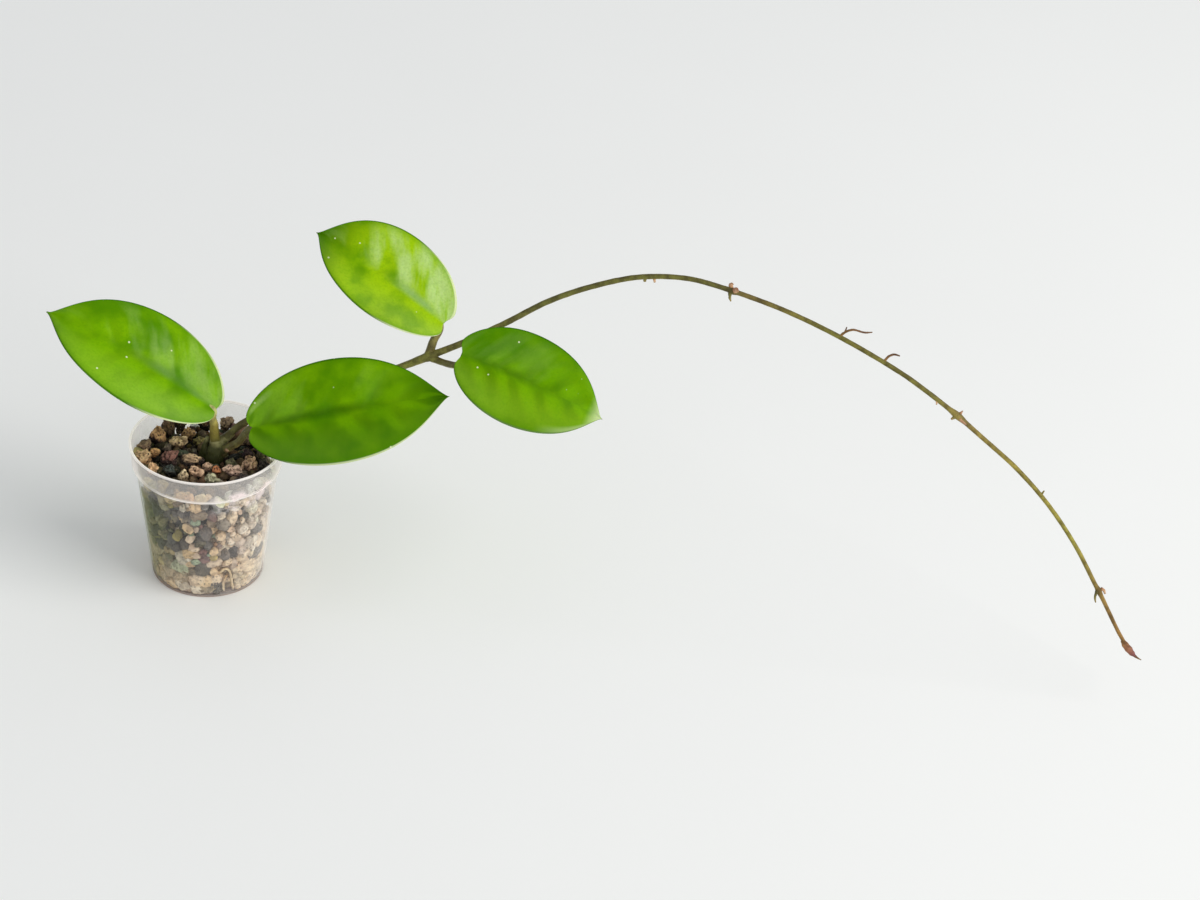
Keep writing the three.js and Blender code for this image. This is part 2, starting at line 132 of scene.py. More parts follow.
# One step of arithmetic on two numbers.
def calculate(what, first, second=0.5, clamp=False):
    node = addNode(treeOf(first, second), "ShaderNodeMath", operation=what, use_clamp=clamp)
    feed(node.inputs[0], first)
    feed(node.inputs[1], second)
    return node.outputs[0]


# The same step over several numbers, from the first to the last.
def chained(what, numbers):
    total = numbers[0]
    for number in numbers[1:]:
        total = calculate(what, total, number)
    return total


# Product of the parts.
def times(*parts):
    return chained("MULTIPLY", parts)


# Sum of the parts.
def plus(*parts):
    return chained("ADD", parts)


# Largest of the parts.
def largest(*parts):
    return chained("MAXIMUM", parts)


# Noise from 0 to 1, with so many waves to the metre.
def noiseAt(where, scale, detail=3.0, roughness=0.55):
    node = addNode(where.id_data, "ShaderNodeTexNoise")
    setInputs(node, Vector=where, Scale=scale, Detail=detail, Roughness=roughness)
    return node.outputs["Fac"]


# Scattered cells: the distance to the nearest centre, and a colour of its own for each cell.
def cellsAt(where, scale):
    node = addNode(where.id_data, "ShaderNodeTexVoronoi")
    setInputs(node, Vector=where, Scale=scale, Randomness=1.0)
    return node.outputs["Distance"], node.outputs["Color"]


# Smooth step of a value between two bounds, from one number to another.
def spread(value, fromLow, fromHigh, toLow=0.0, toHigh=1.0):
    node = addNode(value.id_data, "ShaderNodeMapRange", interpolation_type="SMOOTHSTEP")
    setInputs(node, Value=value, From_Min=fromLow, From_Max=fromHigh, To_Min=toLow, To_Max=toHigh)
    return node.outputs["Result"]


# Colours run evenly from stop to stop, each stop a share and a hex colour.
def rampOf(value, stops):
    node = addNode(value.id_data, "ShaderNodeValToRGB")
    ramp = node.color_ramp
    while len(ramp.elements) < len(stops):
        ramp.elements.new(0.5)
    for element, (share, colour) in zip(ramp.elements, stops):
        element.position = share
        element.color = tint(colour)
    setInputs(node, Fac=value)
    return node.outputs["Color"]


# X, Y and Z of a vector.
def partsOf(vector):
    node = addNode(vector.id_data, "ShaderNodeSeparateXYZ")
    feed(node.inputs[0], vector)
    return node.outputs


# Where on the object a point lies, in metres.
def objectPlace(tree):
    return addNode(tree, "ShaderNodeTexCoord").outputs["Object"]


# An attribute of the mesh, by its name.
def valueOf(tree, name, output="Fac"):
    return addNode(tree, "ShaderNodeAttribute", attribute_name=name).outputs[output]


# A shader group with a vector input, then inputs with the given usual values: floats, or colours.
def newGroup(name, usual, outputs):
    tree = bpy.data.node_groups.new(name, "ShaderNodeTree")
    tree.interface.new_socket("Vector", in_out="INPUT", socket_type="NodeSocketVector")
    for label, value in usual.items():
        kind = "NodeSocketFloat" if isinstance(value, float) else "NodeSocketColor"
        tree.interface.new_socket(label, in_out="INPUT", socket_type=kind).default_value = value
    for label in outputs:
        kind = "NodeSocketColor" if label == "Color" else "NodeSocketFloat"
        tree.interface.new_socket(label, in_out="OUTPUT", socket_type=kind)
    return tree, addNode(tree, "NodeGroupInput").outputs, addNode(tree, "NodeGroupOutput")


# Places a group in a tree with its own values.
def placeGroup(tree, group, **values):
    node = addNode(tree, "ShaderNodeGroup", node_tree=group)
    setInputs(node, Vector=objectPlace(tree), **values)
    return node.outputs


# A new material with its Principled shader; returns the material, its tree and the shader.
def newFinish(name, **values):
    material = bpy.data.materials.new(name)
    material.use_nodes = True
    shader = material.node_tree.nodes["Principled BSDF"]
    setInputs(shader, **values)
    return material, material.node_tree, shader


# Relief on a shader: a height from 0 to 1 over a distance in metres.
def bumpInto(shader, height, distance, strength):
    node = addNode(height.id_data, "ShaderNodeBump")
    setInputs(node, Strength=strength, Distance=distance, Height=height)
    setInputs(shader, Normal=node.outputs["Normal"])


porous = {
    "broadScale": 420.0,
    "fineScale": 1900.0,
    "pitScale": 720.0,
    "lightCast": (1, 0.9, 0.78, 1),
    "darkCast": (0.12, 0.09, 0.09, 1),
    "fleck": (0.62, 0.5, 0.38, 1),
    "pitShade": (0.035, 0.025, 0.022, 1),
    "relief": 0.0008,
}


# Porous stone: the given tone, mottled lighter and darker, with pits that sink its surface and are painted
# dark as painted shade in the hollows.
def makePorousGroup():
    usual = {"Tone": (0.4, 0.3, 0.2, 1), "Mottle": 0.6, "Pits": 0.6}
    tree, ask, result = newGroup("porousStone", usual, ["Color", "Roughness", "Height"])
    broad = noiseAt(ask["Vector"], porous["broadScale"])
    fine = noiseAt(ask["Vector"], porous["fineScale"], 4.0, 0.7)
    distance, _ = cellsAt(ask["Vector"], porous["pitScale"])
    pits = times(spread(distance, 0.2, 0.34, 1.0, 0.0), spread(broad, 0.38, 0.5), ask["Pits"])
    light = mixed(0.55, ask["Tone"], porous["lightCast"], "SOFT_LIGHT")
    dark = mixed(0.8, ask["Tone"], porous["darkCast"], "MULTIPLY")
    mottled = mixed(spread(broad, 0.36, 0.62), dark, light)
    colour = mixed(ask["Mottle"], ask["Tone"], mottled)
    colour = mixed(spread(fine, 0.56, 0.7, 0.0, 0.55), colour, porous["fleck"])
    # painted shade: the pits are painted nearly black
    colour = mixed(pits, colour, porous["pitShade"])
    height = calculate("SUBTRACT", times(fine, 0.45), pits)
    setInputs(result, Color=colour, Roughness=spread(fine, 0.3, 0.7, 0.78, 0.98), Height=height)
    return tree


bark = {
    "broadScale": 260.0,
    "fineScale": 1500.0,
    "relief": 0.00025,
    "underBounceLight": (0.46, 0.34, 0.15, 1),  # painted light: the tan underside, as if lit by light bouncing up from the floor
    "lightCast": (1, 0.95, 0.8, 1),
    "lenticel": (0.5, 0.45, 0.28, 1),
}


# Young bark: a colour darker on top (partly the bark's own colour, partly painted shade) and tan underneath
# as painted bounce light, streaked and freckled, with small lenticels.
def makeBarkGroup():
    usual = {"Colour": (0.2, 0.2, 0.05, 1), "Freckle": (0.05, 0.03, 0.02, 1), "Amount": 0.5, "Facing": 0.0}
    tree, ask, result = newGroup("youngBark", usual, ["Color", "Height"])
    # painted shade on the upper side and painted bounce light on the underside, by which way the surface
    # faces
    base = mixed(spread(ask["Facing"], 0.45, 0.95, 0.0, 0.4), ask["Colour"], ask["Freckle"])
    base = mixed(spread(ask["Facing"], -0.9, -0.1, 0.45, 0.0), base, bark["underBounceLight"])
    broad = noiseAt(ask["Vector"], bark["broadScale"])
    fine = noiseAt(ask["Vector"], bark["fineScale"], 4.0, 0.65)
    lighter = mixed(0.4, base, bark["lightCast"], "SOFT_LIGHT")
    darker = mixed(0.55, base, ask["Freckle"])
    wash = mixed(spread(broad, 0.3, 0.7), darker, lighter)
    flecked = mixed(times(spread(fine, 0.55, 0.68), ask["Amount"]), wash, ask["Freckle"])
    colour = mixed(spread(fine, 0.36, 0.28, 0.0, 0.5), flecked, bark["lenticel"])
    setInputs(result, Color=colour, Height=plus(times(fine, 0.5), times(broad, 0.5)))
    return tree


porousStone = makePorousGroup()
youngBark = makeBarkGroup()


# Faces of a grid of rings: quads between neighbouring rings, and a fan to an end point at each end.
def ringFaces(rings, sides):
    ring, side = np.meshgrid(np.arange(rings - 1), np.arange(sides), indexing="ij")
    beside = (side + 1) % sides
    quads = np.stack([ring * sides + side, ring * sides + beside,
                      (ring + 1) * sides + beside, (ring + 1) * sides + side], axis=-1).reshape(-1, 4)
    around = np.arange(sides)
    last = (rings - 1) * sides
    following = (around + 1) % sides
    startFan = np.stack([np.full(sides, rings * sides), following, around], axis=-1)
    endFan = np.stack([np.full(sides, rings * sides + 1), last + around, last + following], axis=-1)
    return [quads, np.concatenate([startFan, endFan])]


# Puts a number or a colour per point into a mesh under each name.
def setValues(mesh, values):
    for label, numbers in values.items():
        numbers = np.asarray(numbers, dtype=np.float32)
        kind, key = ("FLOAT_COLOR", "color") if numbers.ndim == 2 else ("FLOAT", "value")
        mesh.attributes.new(label, kind, "POINT").data.foreach_set(key, numbers.ravel())


# Smooth shading on every face.
def shadeSmooth(mesh):
    mesh.polygons.foreach_set("use_smooth", np.ones(len(mesh.polygons), dtype=bool))


# A piece from a shape: points in millimetres, faces, and values per point. It rides on the root body.
def makePiece(name, shape, finish, replaced):
    points, faces, values = shape
    mesh = bpy.data.meshes.new(name)
    mesh.from_pydata((np.asarray(points) * mm).tolist(), [], [f for group in faces for f in group.tolist()])
    setValues(mesh, values)
    shadeSmooth(mesh)
    mesh.materials.append(finish)
    piece = bpy.data.objects.new(name, mesh)
    bpy.context.scene.collection.objects.link(piece)
    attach(piece, "root")
    if replaced:
        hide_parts(*replaced)
    return piece


# Several shapes as one.
def gathered(shapes):
    points, faces, values, count = [], [], {}, 0
    for shape in shapes:
        points.append(shape[0])
        faces += [group + count for group in shape[1]]
        for label, numbers in shape[2].items():
            values.setdefault(label, []).append(numbers)
        count += len(shape[0])
    return np.concatenate(points), faces, {label: np.concatenate(parts) for label, parts in values.items()}


# A section of (radius, height) turned about Z: (r cos a, r sin a, h) at each angle a.
def turned(section, sides):
    angle = np.linspace(0, 2 * np.pi, sides, endpoint=False)
    radius, height = section[:, :1], section[:, 1:]
    return np.stack([radius * np.cos(angle), radius * np.sin(angle), np.repeat(height, sides, 1)], axis=-1)


# Points along a route that has no radii, with the radius running evenly through the given ones.
def withRadii(points, radii):
    points = np.asarray(points, dtype=float)
    along = np.interp(np.linspace(0, 1, len(points)), np.linspace(0, 1, len(radii)), radii)
    return np.column_stack([points, along])


# Smooth curve through the points: on each span a cubic whose end slopes weigh both neighbours
# by the square roots of their distances. Returns places, slopes and the radii between points.
def curveThrough(route, steps):
    route = np.asarray(route, dtype=float)
    places, radii = route[:, :3], route[:, 3]
    padded = np.vstack([2 * places[0] - places[1], places, 2 * places[-1] - places[-2]])
    gaps = np.sqrt(np.linalg.norm(np.diff(padded, axis=0), axis=1))[:, None]
    before, span, after = gaps[:-2], gaps[1:-1], gaps[2:]
    p0, p1, p2, p3 = padded[:-3], padded[1:-2], padded[2:-1], padded[3:]
    slope1 = ((p1 - p0) / before - (p2 - p0) / (before + span) + (p2 - p1) / span) * span
    slope2 = ((p2 - p1) / span - (p3 - p1) / (span + after) + (p3 - p2) / after) * span
    t = np.linspace(0, len(route) - 1, steps)
    index = np.minimum(t.astype(int), len(route) - 2)
    u = (t - index)[:, None]
    a, b, m1, m2 = p1[index], p2[index], slope1[index], slope2[index]
    place = ((2 * u**3 - 3 * u**2 + 1) * a + (u**3 - 2 * u**2 + u) * m1
             + (3 * u**2 - 2 * u**3) * b + (u**3 - u**2) * m2)
    slope = (6 * u**2 - 6 * u) * (a - b) + (3 * u**2 - 4 * u + 1) * m1 + (3 * u**2 - 2 * u) * m2
    ease = smoothRamp(u[:, 0], 0, 1)
    return place, unit(slope), radii[index] * (1 - ease) + radii[index + 1] * ease


# Soft lumps: the sum of sine waves crossing the points in several fixed directions, from -1 to 1.
def lumps(points, size, seed, waves=6):
    rng = np.random.default_rng(seed)
    ways = rng.normal(size=(waves, 3))
    ways /= np.linalg.norm(ways, axis=1, keepdims=True) * size / (2 * np.pi)
    ways *= rng.uniform(0.7, 1.5, (waves, 1))
    return np.sin(points @ ways.T + rng.uniform(0, 6.28, waves)).mean(axis=-1) * 1.6


# A tube along a curve: each ring is a circle square to the curve, its radius from the route times
# one plus small lumps, and the last rings shrink as a round cap does at both ends.
def tubeShape(route, steps, sides, lumpSize, lumpShare, blunt=0.6, seed=1):
    place, slope, radius = curveThrough(route, steps)
    cap = np.linspace(0, np.pi / 2, 6)[1:-1]
    start = place[0] - slope[0] * np.sin(cap[::-1, None]) * radius[0] * blunt
    end = place[-1] + slope[-1] * np.sin(cap[:, None]) * radius[-1] * blunt
    place = np.vstack([start, place, end])
    slope = np.vstack([np.repeat(slope[:1], len(cap), 0), slope, np.repeat(slope[-1:], len(cap), 0)])
    radius = np.concatenate([np.cos(cap[::-1]) * radius[0], radius, np.cos(cap) * radius[-1]])
    side = unit(np.array([0, 1.0, 0]) - slope * slope[:, 1:2])
    over = np.cross(slope, side)
    angle = np.linspace(0, 2 * np.pi, sides, endpoint=False)
    out = side[:, None] * np.cos(angle)[None, :, None] + over[:, None] * np.sin(angle)[None, :, None]
    skin = place[:, None] + out * radius[:, None, None]
    swell = 1 + lumpShare * lumps(skin.reshape(-1, 3), lumpSize, seed).reshape(skin.shape[:2])
    skin = place[:, None] + out * (radius[:, None] * swell)[..., None]
    tips = np.stack([place[0] - slope[0] * radius[0] * 0.2, place[-1] + slope[-1] * radius[-1] * 0.2])
    share = np.repeat(np.linspace(0, 1, len(place)), sides)
    points = np.vstack([skin.reshape(-1, 3), tips])
    return points, ringFaces(len(place), sides), {"along": np.concatenate([share, [0, 1]])}


pot = {
    "segments": 192,
    "height": 63.6,
    "footRadius": 23.3,
    "footRound": 1.3,
    "shoulderRadius": 29.4,
    "shoulderHeight": 51.9,
    "collarRadius": 31.2,
    "collarHeight": 54.6,
    "rimRadius": 32.1,
    "lipWidth": 1.05,
    "lipHeight": 0.9,
    "bead": 0.4,  # radius of the rolled lip's edges
    "insideCorner": 1.25,
    "wall": 0.65,
    "floor": 0.8,
    "holes": 6,
    "holeRadius": 2.2,
    "holeCircle": 13.0,
    "plateRadius": 20.5,  # where the wall's sweep takes over from the foot plate
    "milk": "#ebe9e4",
    "milkWarm": "#ece4df",
    "footBlush": "#94705e",
    "bodyVeil": 0.03,  # how solid each face of the wall looks, seen straight on
    "collarVeil": 0.2,
    "lipVeil": 0.6,
    "footVeil": 0.4,
    "edgeVeil": 0.62,  # added where the wall is seen edge on, with how sharply it sets in
    "edgePower": 3.0,
    "edgeSpread": 0.4,
    "smudgeVeil": 0.04,
    "mossFilm": "#7f8758",  # a thin green film at the left, and painted glare (pale patches of painted highlight) under the collar at the right
    "paintedGlareColour": "#f2e4e2",
    "paintedGlareVeil": 0.5,
    "paintedGlow": 0.32,  # painted glow: emission that stands in for light the milky wall passes on, in full at the lip and the ledge
    "wallPaintedGlow": 0.46,  # share of the painted glow elsewhere
    "roughness": 0.3,
    "cloudScale": 90.0,
    "paintedGlareScale": 210.0,
    "grainScale": 1500.0,
    "grainRelief": 0.00006,
    "zones": {  # X, Y or Z at which each zone starts and is in full, or starts to fade and is gone
        "blush": (0.3, 1.6), "foot": (0.3, 1.4), "mossSide": (-6, -20), "mossTop": (44, 50),
        "paintedGlareSide": (2, 16), "paintedGlareFront": (-8, -16), "paintedGlareFoot": (44, 49), "paintedGlareTop": (55, 58),
        "collar": (50.5, 53.5), "ledge": (51.2, 52.2), "ledgeTop": (52.6, 53.8), "lip": (62.4, 62.8),
    },
}


# Outer radius at each height: a straight taper to the shoulder, a quarter sine out to the collar, then
# straight to the lip.
def potRadius(height):
    body = np.interp(height, [0, pot["shoulderHeight"]], [pot["footRadius"], pot["shoulderRadius"]])
    share = np.clip((height - pot["shoulderHeight"]) / (pot["collarHeight"] - pot["shoulderHeight"]), 0, 1)
    shoulder = (pot["collarRadius"] - pot["shoulderRadius"]) * np.sin(share * np.pi / 2)
    above = np.clip((height - pot["collarHeight"]) / (pot["height"] - pot["collarHeight"]), 0, 1)
    return body + shoulder + above * (pot["rimRadius"] - 0.3 - pot["collarRadius"])


# Inner radius at each height: the outer one less the wall.
def potInside(height):
    return potRadius(height) - pot["wall"]


# The pot's section from the foot plate out, up the outside, over the rolled lip and down the inside.
def potSection():
    foot, top, bead, floor = pot["footRound"], pot["height"], pot["bead"], pot["floor"]
    quarter = np.linspace(0, np.pi / 2, 7)
    reach, rise = pot["footRadius"] - foot * 0.55, foot * 0.62
    heel = np.stack([reach + rise * np.sin(quarter), rise * (1 - np.cos(quarter))], axis=1)
    heel[:, 0] = np.minimum(heel[:, 0], potRadius(heel[:, 1]))
    lipFoot = top - pot["lipHeight"] - 0.1
    bands = [(foot, 50.4, 22), (50.8, 55.4, 14), (56.2, lipFoot, 8)]  # closer rings at the collar
    heights = np.concatenate([np.linspace(*band) for band in bands])
    outside = np.stack([potRadius(heights), heights], axis=1)
    over = np.linspace(-np.pi / 2, np.pi / 2, 9)
    outer = np.stack([pot["rimRadius"] - bead + bead * np.cos(over),
                      top - 0.5 + 0.45 * np.sin(over)], axis=1)
    outer[:, 1] = np.minimum(outer[:, 1], top)
    back = np.linspace(-np.pi / 2, np.pi / 2, 7)[::-1]
    inner = np.stack([pot["rimRadius"] - pot["lipWidth"] + bead - bead * np.cos(back),
                      top - bead + 0.36 * np.sin(back)], axis=1)
    inside = np.stack([potInside(heights[::-1]), heights[::-1]], axis=1)
    inside = inside[inside[:, 1] > floor + foot]
    corner = np.stack([potInside(floor + foot) - pot["insideCorner"] * np.sin(quarter),
                       floor + pot["insideCorner"] * (1 - np.sin(quarter))], axis=1)
    plate = pot["plateRadius"]
    return np.vstack([[plate, 0], heel, outside, outer, inner, inside, corner, [plate, floor]])


# One sixth of the foot plate with its drain hole: rings run from the wedge's outline in to the
# hole on top, down the hole and back out underneath.
def footWedge(turn):
    half = np.pi / pot["holes"]
    count = pot["segments"] // pot["holes"]
    shares = np.linspace(0, 1, 9)
    edge = np.array([np.cos(half), np.sin(half)]) * pot["plateRadius"]
    arc = np.linspace(-half, half, count + 1)
    outline = np.vstack([
        shares[:-1, None] * edge * [1, -1],
        np.stack([np.cos(arc), np.sin(arc)], axis=1) * pot["plateRadius"],
        shares[-2:0:-1, None] * edge,
    ])
    centre = [pot["holeCircle"], 0]
    circle = centre + unit(outline - centre) * pot["holeRadius"]
    steps = np.linspace(0, 1, 5)[:, None, None]
    flat = outline * (1 - steps) + circle * steps
    upper = np.dstack([flat, np.full(flat.shape[:2], pot["floor"])])
    lower = np.dstack([flat[::-1], np.zeros(flat.shape[:2])])
    rings = np.concatenate([upper, lower])
    cos, sin = math.cos(turn), math.sin(turn)
    points = rings.reshape(-1, 3) @ np.array([[cos, sin, 0], [-sin, cos, 0], [0, 0, 1]])
    return points, ringFaces(len(rings), len(outline))[:1], {}


# Frosted plastic: milky, brown at the foot, greenish at the left and with painted glare (pale patches of
# painted highlight) at the right; it has a painted glow, an emission in full at the lip and the ledge. Its
# alpha is a veil for each zone, plus more where the wall is seen edge on: the facing share to a power.
def makePotFinish():
    finish, tree, shader = newFinish("frostedPlastic", Roughness=pot["roughness"], Specular_IOR_Level=0.35,
                                     IOR=1.5, Emission_Strength=pot["paintedGlow"])
    where = objectPlace(tree)
    x, y, z = partsOf(where)

    def zone(place, name, toLow=0.0, toHigh=1.0):
        low, high = pot["zones"][name]
        return spread(place, low * mm, high * mm, toLow, toHigh)

    cloud = noiseAt(where, pot["cloudScale"])
    milk = mixed(cloud, tint(pot["milk"]), tint(pot["milkWarm"]))
    mossy = times(zone(x, "mossSide"), zone(z, "mossTop", 0.9, 0.0))
    milk = mixed(mossy, milk, tint(pot["mossFilm"]))
    # painted glare: spots of pale painted highlight under the collar at the right front, a little more solid
    # as well
    glareSpots = spread(noiseAt(where, pot["paintedGlareScale"], 4.0, 0.65), 0.46, 0.62)
    paintedGlare = times(glareSpots, zone(x, "paintedGlareSide"), zone(y, "paintedGlareFront"), zone(z, "paintedGlareFoot"),
                  zone(z, "paintedGlareTop", 1.0, 0.0))
    milk = mixed(paintedGlare, milk, tint(pot["paintedGlareColour"]))
    colour = mixed(zone(z, "blush", 1.0, 0.0), milk, tint(pot["footBlush"]))
    ledge = times(zone(z, "ledge"), zone(z, "ledgeTop", 0.5, 0.0))
    # painted glow: the emission is in full along the lip and the ledge, painted highlight lines there, and
    # dimmer on the rest of the wall
    paintedLight = largest(times(ledge, 2.0), zone(z, "lip"))
    dim = mixed(1.0, colour, (pot["wallPaintedGlow"],) * 3 + (1,), "MULTIPLY")
    angle = addNode(tree, "ShaderNodeLayerWeight")
    setInputs(angle, Blend=pot["edgeSpread"])
    edge = calculate("POWER", angle.outputs["Facing"], pot["edgePower"])
    veil = plus(zone(z, "collar", pot["bodyVeil"], pot["collarVeil"]), ledge)
    veil = largest(veil, zone(z, "lip", 0.0, pot["lipVeil"]))
    smudge = times(spread(cloud, 0.42, 0.66), pot["smudgeVeil"])
    veil = plus(veil, zone(z, "foot", pot["footVeil"], 0.0), smudge, times(paintedGlare, pot["paintedGlareVeil"]))
    veil = calculate("ADD", veil, times(edge, pot["edgeVeil"]), clamp=True)
    setInputs(shader, Base_Color=colour, Emission_Color=mixed(paintedLight, dim, colour), Alpha=veil)
    bumpInto(shader, noiseAt(where, pot["grainScale"], 2.0), pot["grainRelief"], 0.5)
    return finish


# The pot: its section turned about Z and six foot wedges, merged into one closed skin.
def makePot():
    section = potSection()
    skin = turned(section, pot["segments"])
    sweep = (skin.reshape(-1, 3), ringFaces(len(section), pot["segments"])[:1], {})
    wedges = [footWedge((i + 0.5) * 2 * np.pi / pot["holes"]) for i in range(pot["holes"])]
    piece = makePiece("pot_wall", gathered([sweep, *wedges]), makePotFinish(), ["pot"])
    soup = bmesh.new()
    soup.from_mesh(piece.data)
    bmesh.ops.remove_doubles(soup, verts=soup.verts, dist=1e-6)
    loose = sum(not e.is_manifold for e in soup.edges)
    soup.to_mesh(piece.data)
    soup.free()
    shadeSmooth(piece.data)
    piece.data.set_sharp_from_angle(angle=math.radians(50))
    print("pot made,", len(piece.data.polygons), "faces,", loose, "open edges")


makePot()

# The shoot's route is each point's place and radius, used by the grit as well.
shoot = {
    "route": [
        [2.0, 1.2, 49.0, 2.4], [2.6, 1.2, 53.0, 3.7], [3.9, 1.3, 57.4, 3.5], [5.9, 1.9, 62.0, 2.2],
        [10.4, 3.0, 67.2, 1.6], [15.9, 4.2, 71.8, 1.62], [45.0, 10.4, 85.4, 1.4], [77.9, 14.8, 97.6, 1.45],
        [86.6, 15.8, 101.8, 1.75], [89.5, 16.0, 103.3, 2.2], [93.4, 16.2, 105.4, 1.45],
        [101.9, 16.9, 109.8, 1.35], [119.8, 17.9, 120.9, 1.25], [136.6, 18.2, 132.6, 1.2],
        [154.4, 17.9, 141.6, 1.15], [173.0, 17.0, 148.1, 1.1], [192.3, 15.4, 150.0, 1.05],
        [207.5, 13.7, 147.7, 1.05], [210.2, 13.4, 147.1, 1.45], [213.5, 13.0, 146.4, 1.0],
        [229.8, 10.4, 142.5, 1.0], [247.9, 7.0, 136.8, 1.0], [265.7, 3.0, 130.0, 1.0],
        [283.1, -1.4, 122.3, 1.0], [299.6, -6.1, 113.0, 1.0], [304.6, -7.5, 109.9, 1.5],
        [309.0, -9.0, 107.0, 1.0], [315.4, -11.1, 102.7, 0.95], [330.9, -16.4, 92.1, 0.95],
        [345.2, -21.8, 79.2, 0.9], [357.8, -26.8, 64.1, 0.9], [367.6, -30.9, 49.2, 0.9],
        [369.4, -31.6, 46.6, 1.2], [371.3, -32.4, 43.6, 0.9], [380.0, -36.3, 29.6, 0.8],
        [382.0, -37.6, 27.0, 0.8],
    ],
    "secondNode": [89.5, 16.0, 103.2],
    "nodeVoxel": 0.18,
    "reach": 0.4,  # in metres: the colours run along X up to here
    "colours": [
        (0.0, "#5c5f39"), (0.018, "#67693f"), (0.045, "#6c6840"), (0.1, "#7c7744"), (0.2, "#8a884d"),
        (0.24, "#858149"), (0.34, "#696b37"), (0.5, "#6f6f38"), (0.522, "#5c5a30"), (0.54, "#7d6f3f"),
        (0.62, "#7b7838"), (0.74, "#7b763c"), (0.77, "#9c894d"), (0.81, "#9c8d45"), (0.89, "#979144"),
        (0.925, "#8b7341"), (0.95, "#9b7644"), (1.0, "#89583c"),
    ],
    "freckle": "#453a26",
    "roughness": 0.45,
}


roots = {
    "routes": [
        [[2, 1.2, 46.5], [2, -6, 36], [2, -12, 24], [3.6, -16.6, 15], [6.4, -20.0, 11.4], [8.6, -21.2, 12.5],
         [9.9, -20.9, 13.9], [11.3, -20.2, 13.4], [12.3, -19.4, 11.2], [12.7, -18.8, 7.8],
         [12.9, -18.2, 4.6], [13.2, -17.4, 1.9]],
        [[10.9, -20.4, 10.0], [10.2, -20.4, 8.4], [9.6, -20.3, 6.6], [9.5, -19.9, 4.6], [9.5, -19.5, 1.9]],
        [[2, 1.2, 46.5], [-6, 6, 34], [-14, 9, 20], [-17, 11, 8]],
        [[2, 1.2, 46.5], [10, 8, 36], [17, 10, 24], [18, 6, 11]],
        [[2, 1.2, 46.5], [-5, -6, 38], [-12, -13, 28], [-14, -16, 16]],
    ],
    "thick": 0.9,
    "thin": 0.55,
    "colours": [(0.0, "#c9a678"), (1.0, "#fbe6c0")],
    "freckle": "#8a6238",
}

bed = {
    "seed": 5,
    "grains": 1300,
    "smallest": 1.1,  # half sizes of the grains
    "largest": 3.0,
    "lowLarger": 0.6,  # how much larger the grains at the bottom are
    "wallShare": 0.62,  # share of the grains that start along the wall
    "upperShare": 0.86,  # the same with those that start on top; the rest start under the core
    "settleSteps": 55,
    "overlap": 0.84,  # grains are packed as balls of this share of their half size
    "grainSwell": 1.03,
    "wallGap": 0.08,
    "top": 54.3,
    "heap": 2.6,  # how much higher the grains lie at the back
    "coreInset": 6.0,
    "coreFloor": 6.0,
    "coreTop": 49.5,
    "crownBalls": [[2.0, 1.2, 49, 2.6], [2.6, 1.2, 53, 3.6], [-0.8, 1.8, 55, 3.0], [6.4, 0.2, 57, 2.6]],
    "tones": {  # what share of the grains has each colour
        "#ecc79b": 0.2, "#f4d8bb": 0.2, "#d9a67f": 0.12, "#a08c75": 0.1, "#805f5c": 0.08,
        "#c2ac62": 0.05, "#a8bfa0": 0.06, "#2d3236": 0.1, "#fdf0dc": 0.13,
    },
    "darkTone": "#3a4046",  # clusters of dark grains, the moss at the left, and painted light as a pale cast at the right
    "mossTone": "#747a4a",
    "paintedLightTone": "#fbe9d2",
    "strawTone": "#e8d0a8",  # near the foot
    "collarPaintedLight": 1.5,  # painted light: how much brighter the grains just below the collar are
    "shadedTop": 0.2,  # painted shade: how bright the small grains between the top stones stay
    # painted shade: the near-black colour of the core behind the grains
    "coreShadeColour": "#17181a",
    "lowerPaintedShade": 0.8,  # painted shade and painted light: how bright the lower and upper tones of the top stones are
    "upperPaintedLight": 1.8,
    "stoneSwell": 1.16,  # how much the top stones outgrow their CAD boxes, into the gaps between them
}

stoneTones = {  # each stone's colour as a lower tone in painted shade and an upper tone in painted light, and how high the change lies, from -1 to 1
    1: ("#4a3636", "#c79a70", 0.15), 2: ("#4d3d33", "#6d5745", 0.2), 3: ("#54463c", "#7a6753", 0.1),
    4: ("#3f3027", "#6b5140", 0.2), 5: ("#a5865e", "#cbae86", 0.0), 6: ("#c79a6a", "#e4be90", 0.0),
    7: ("#3d2b29", "#6c4c44", 0.4), 8: ("#544644", "#c4a684", 0.35), 9: ("#8e6a58", "#c7a184", -0.1),
    10: ("#b78f78", "#e0b896", -0.2), 11: ("#8d7269", "#c0a08c", 0.0), 12: ("#6d5136", "#8e7050", 0.1),
    13: ("#a58a68", "#d8c09a", -0.1), 14: ("#74745a", "#97967a", 0.1), 15: ("#b98a58", "#dfae76", 0.0),
    16: ("#47403b", "#5d544a", 0.2), 17: ("#c0956a", "#dcb184", 0.0), 18: ("#2c302e", "#3c4441", 0.2),
    19: ("#8f7468", "#b5957c", 0.0), 20: ("#6e3f2c", "#98603f", 0.1), 21: ("#45452f", "#6b6a50", 0.1),
    22: ("#3c3a2a", "#57533b", 0.1), 23: ("#1d1a1b", "#2c2828", 0.2), 24: ("#2a2024", "#3e3035", 0.2),
    25: ("#6c5a4a", "#8a7561", 0.1), 26: ("#241c18", "#5c4433", 0.3), 27: ("#5a5335", "#7b7148", 0.1),
    28: ("#4c3b30", "#6c5645", 0.1), 29: ("#6b5546", "#8d7460", 0.1), 30: ("#a98767", "#c6a582", 0.0),
    31: ("#a6835f", "#c3a17a", 0.0), 32: ("#262222", "#3a3432", 0.2),
}
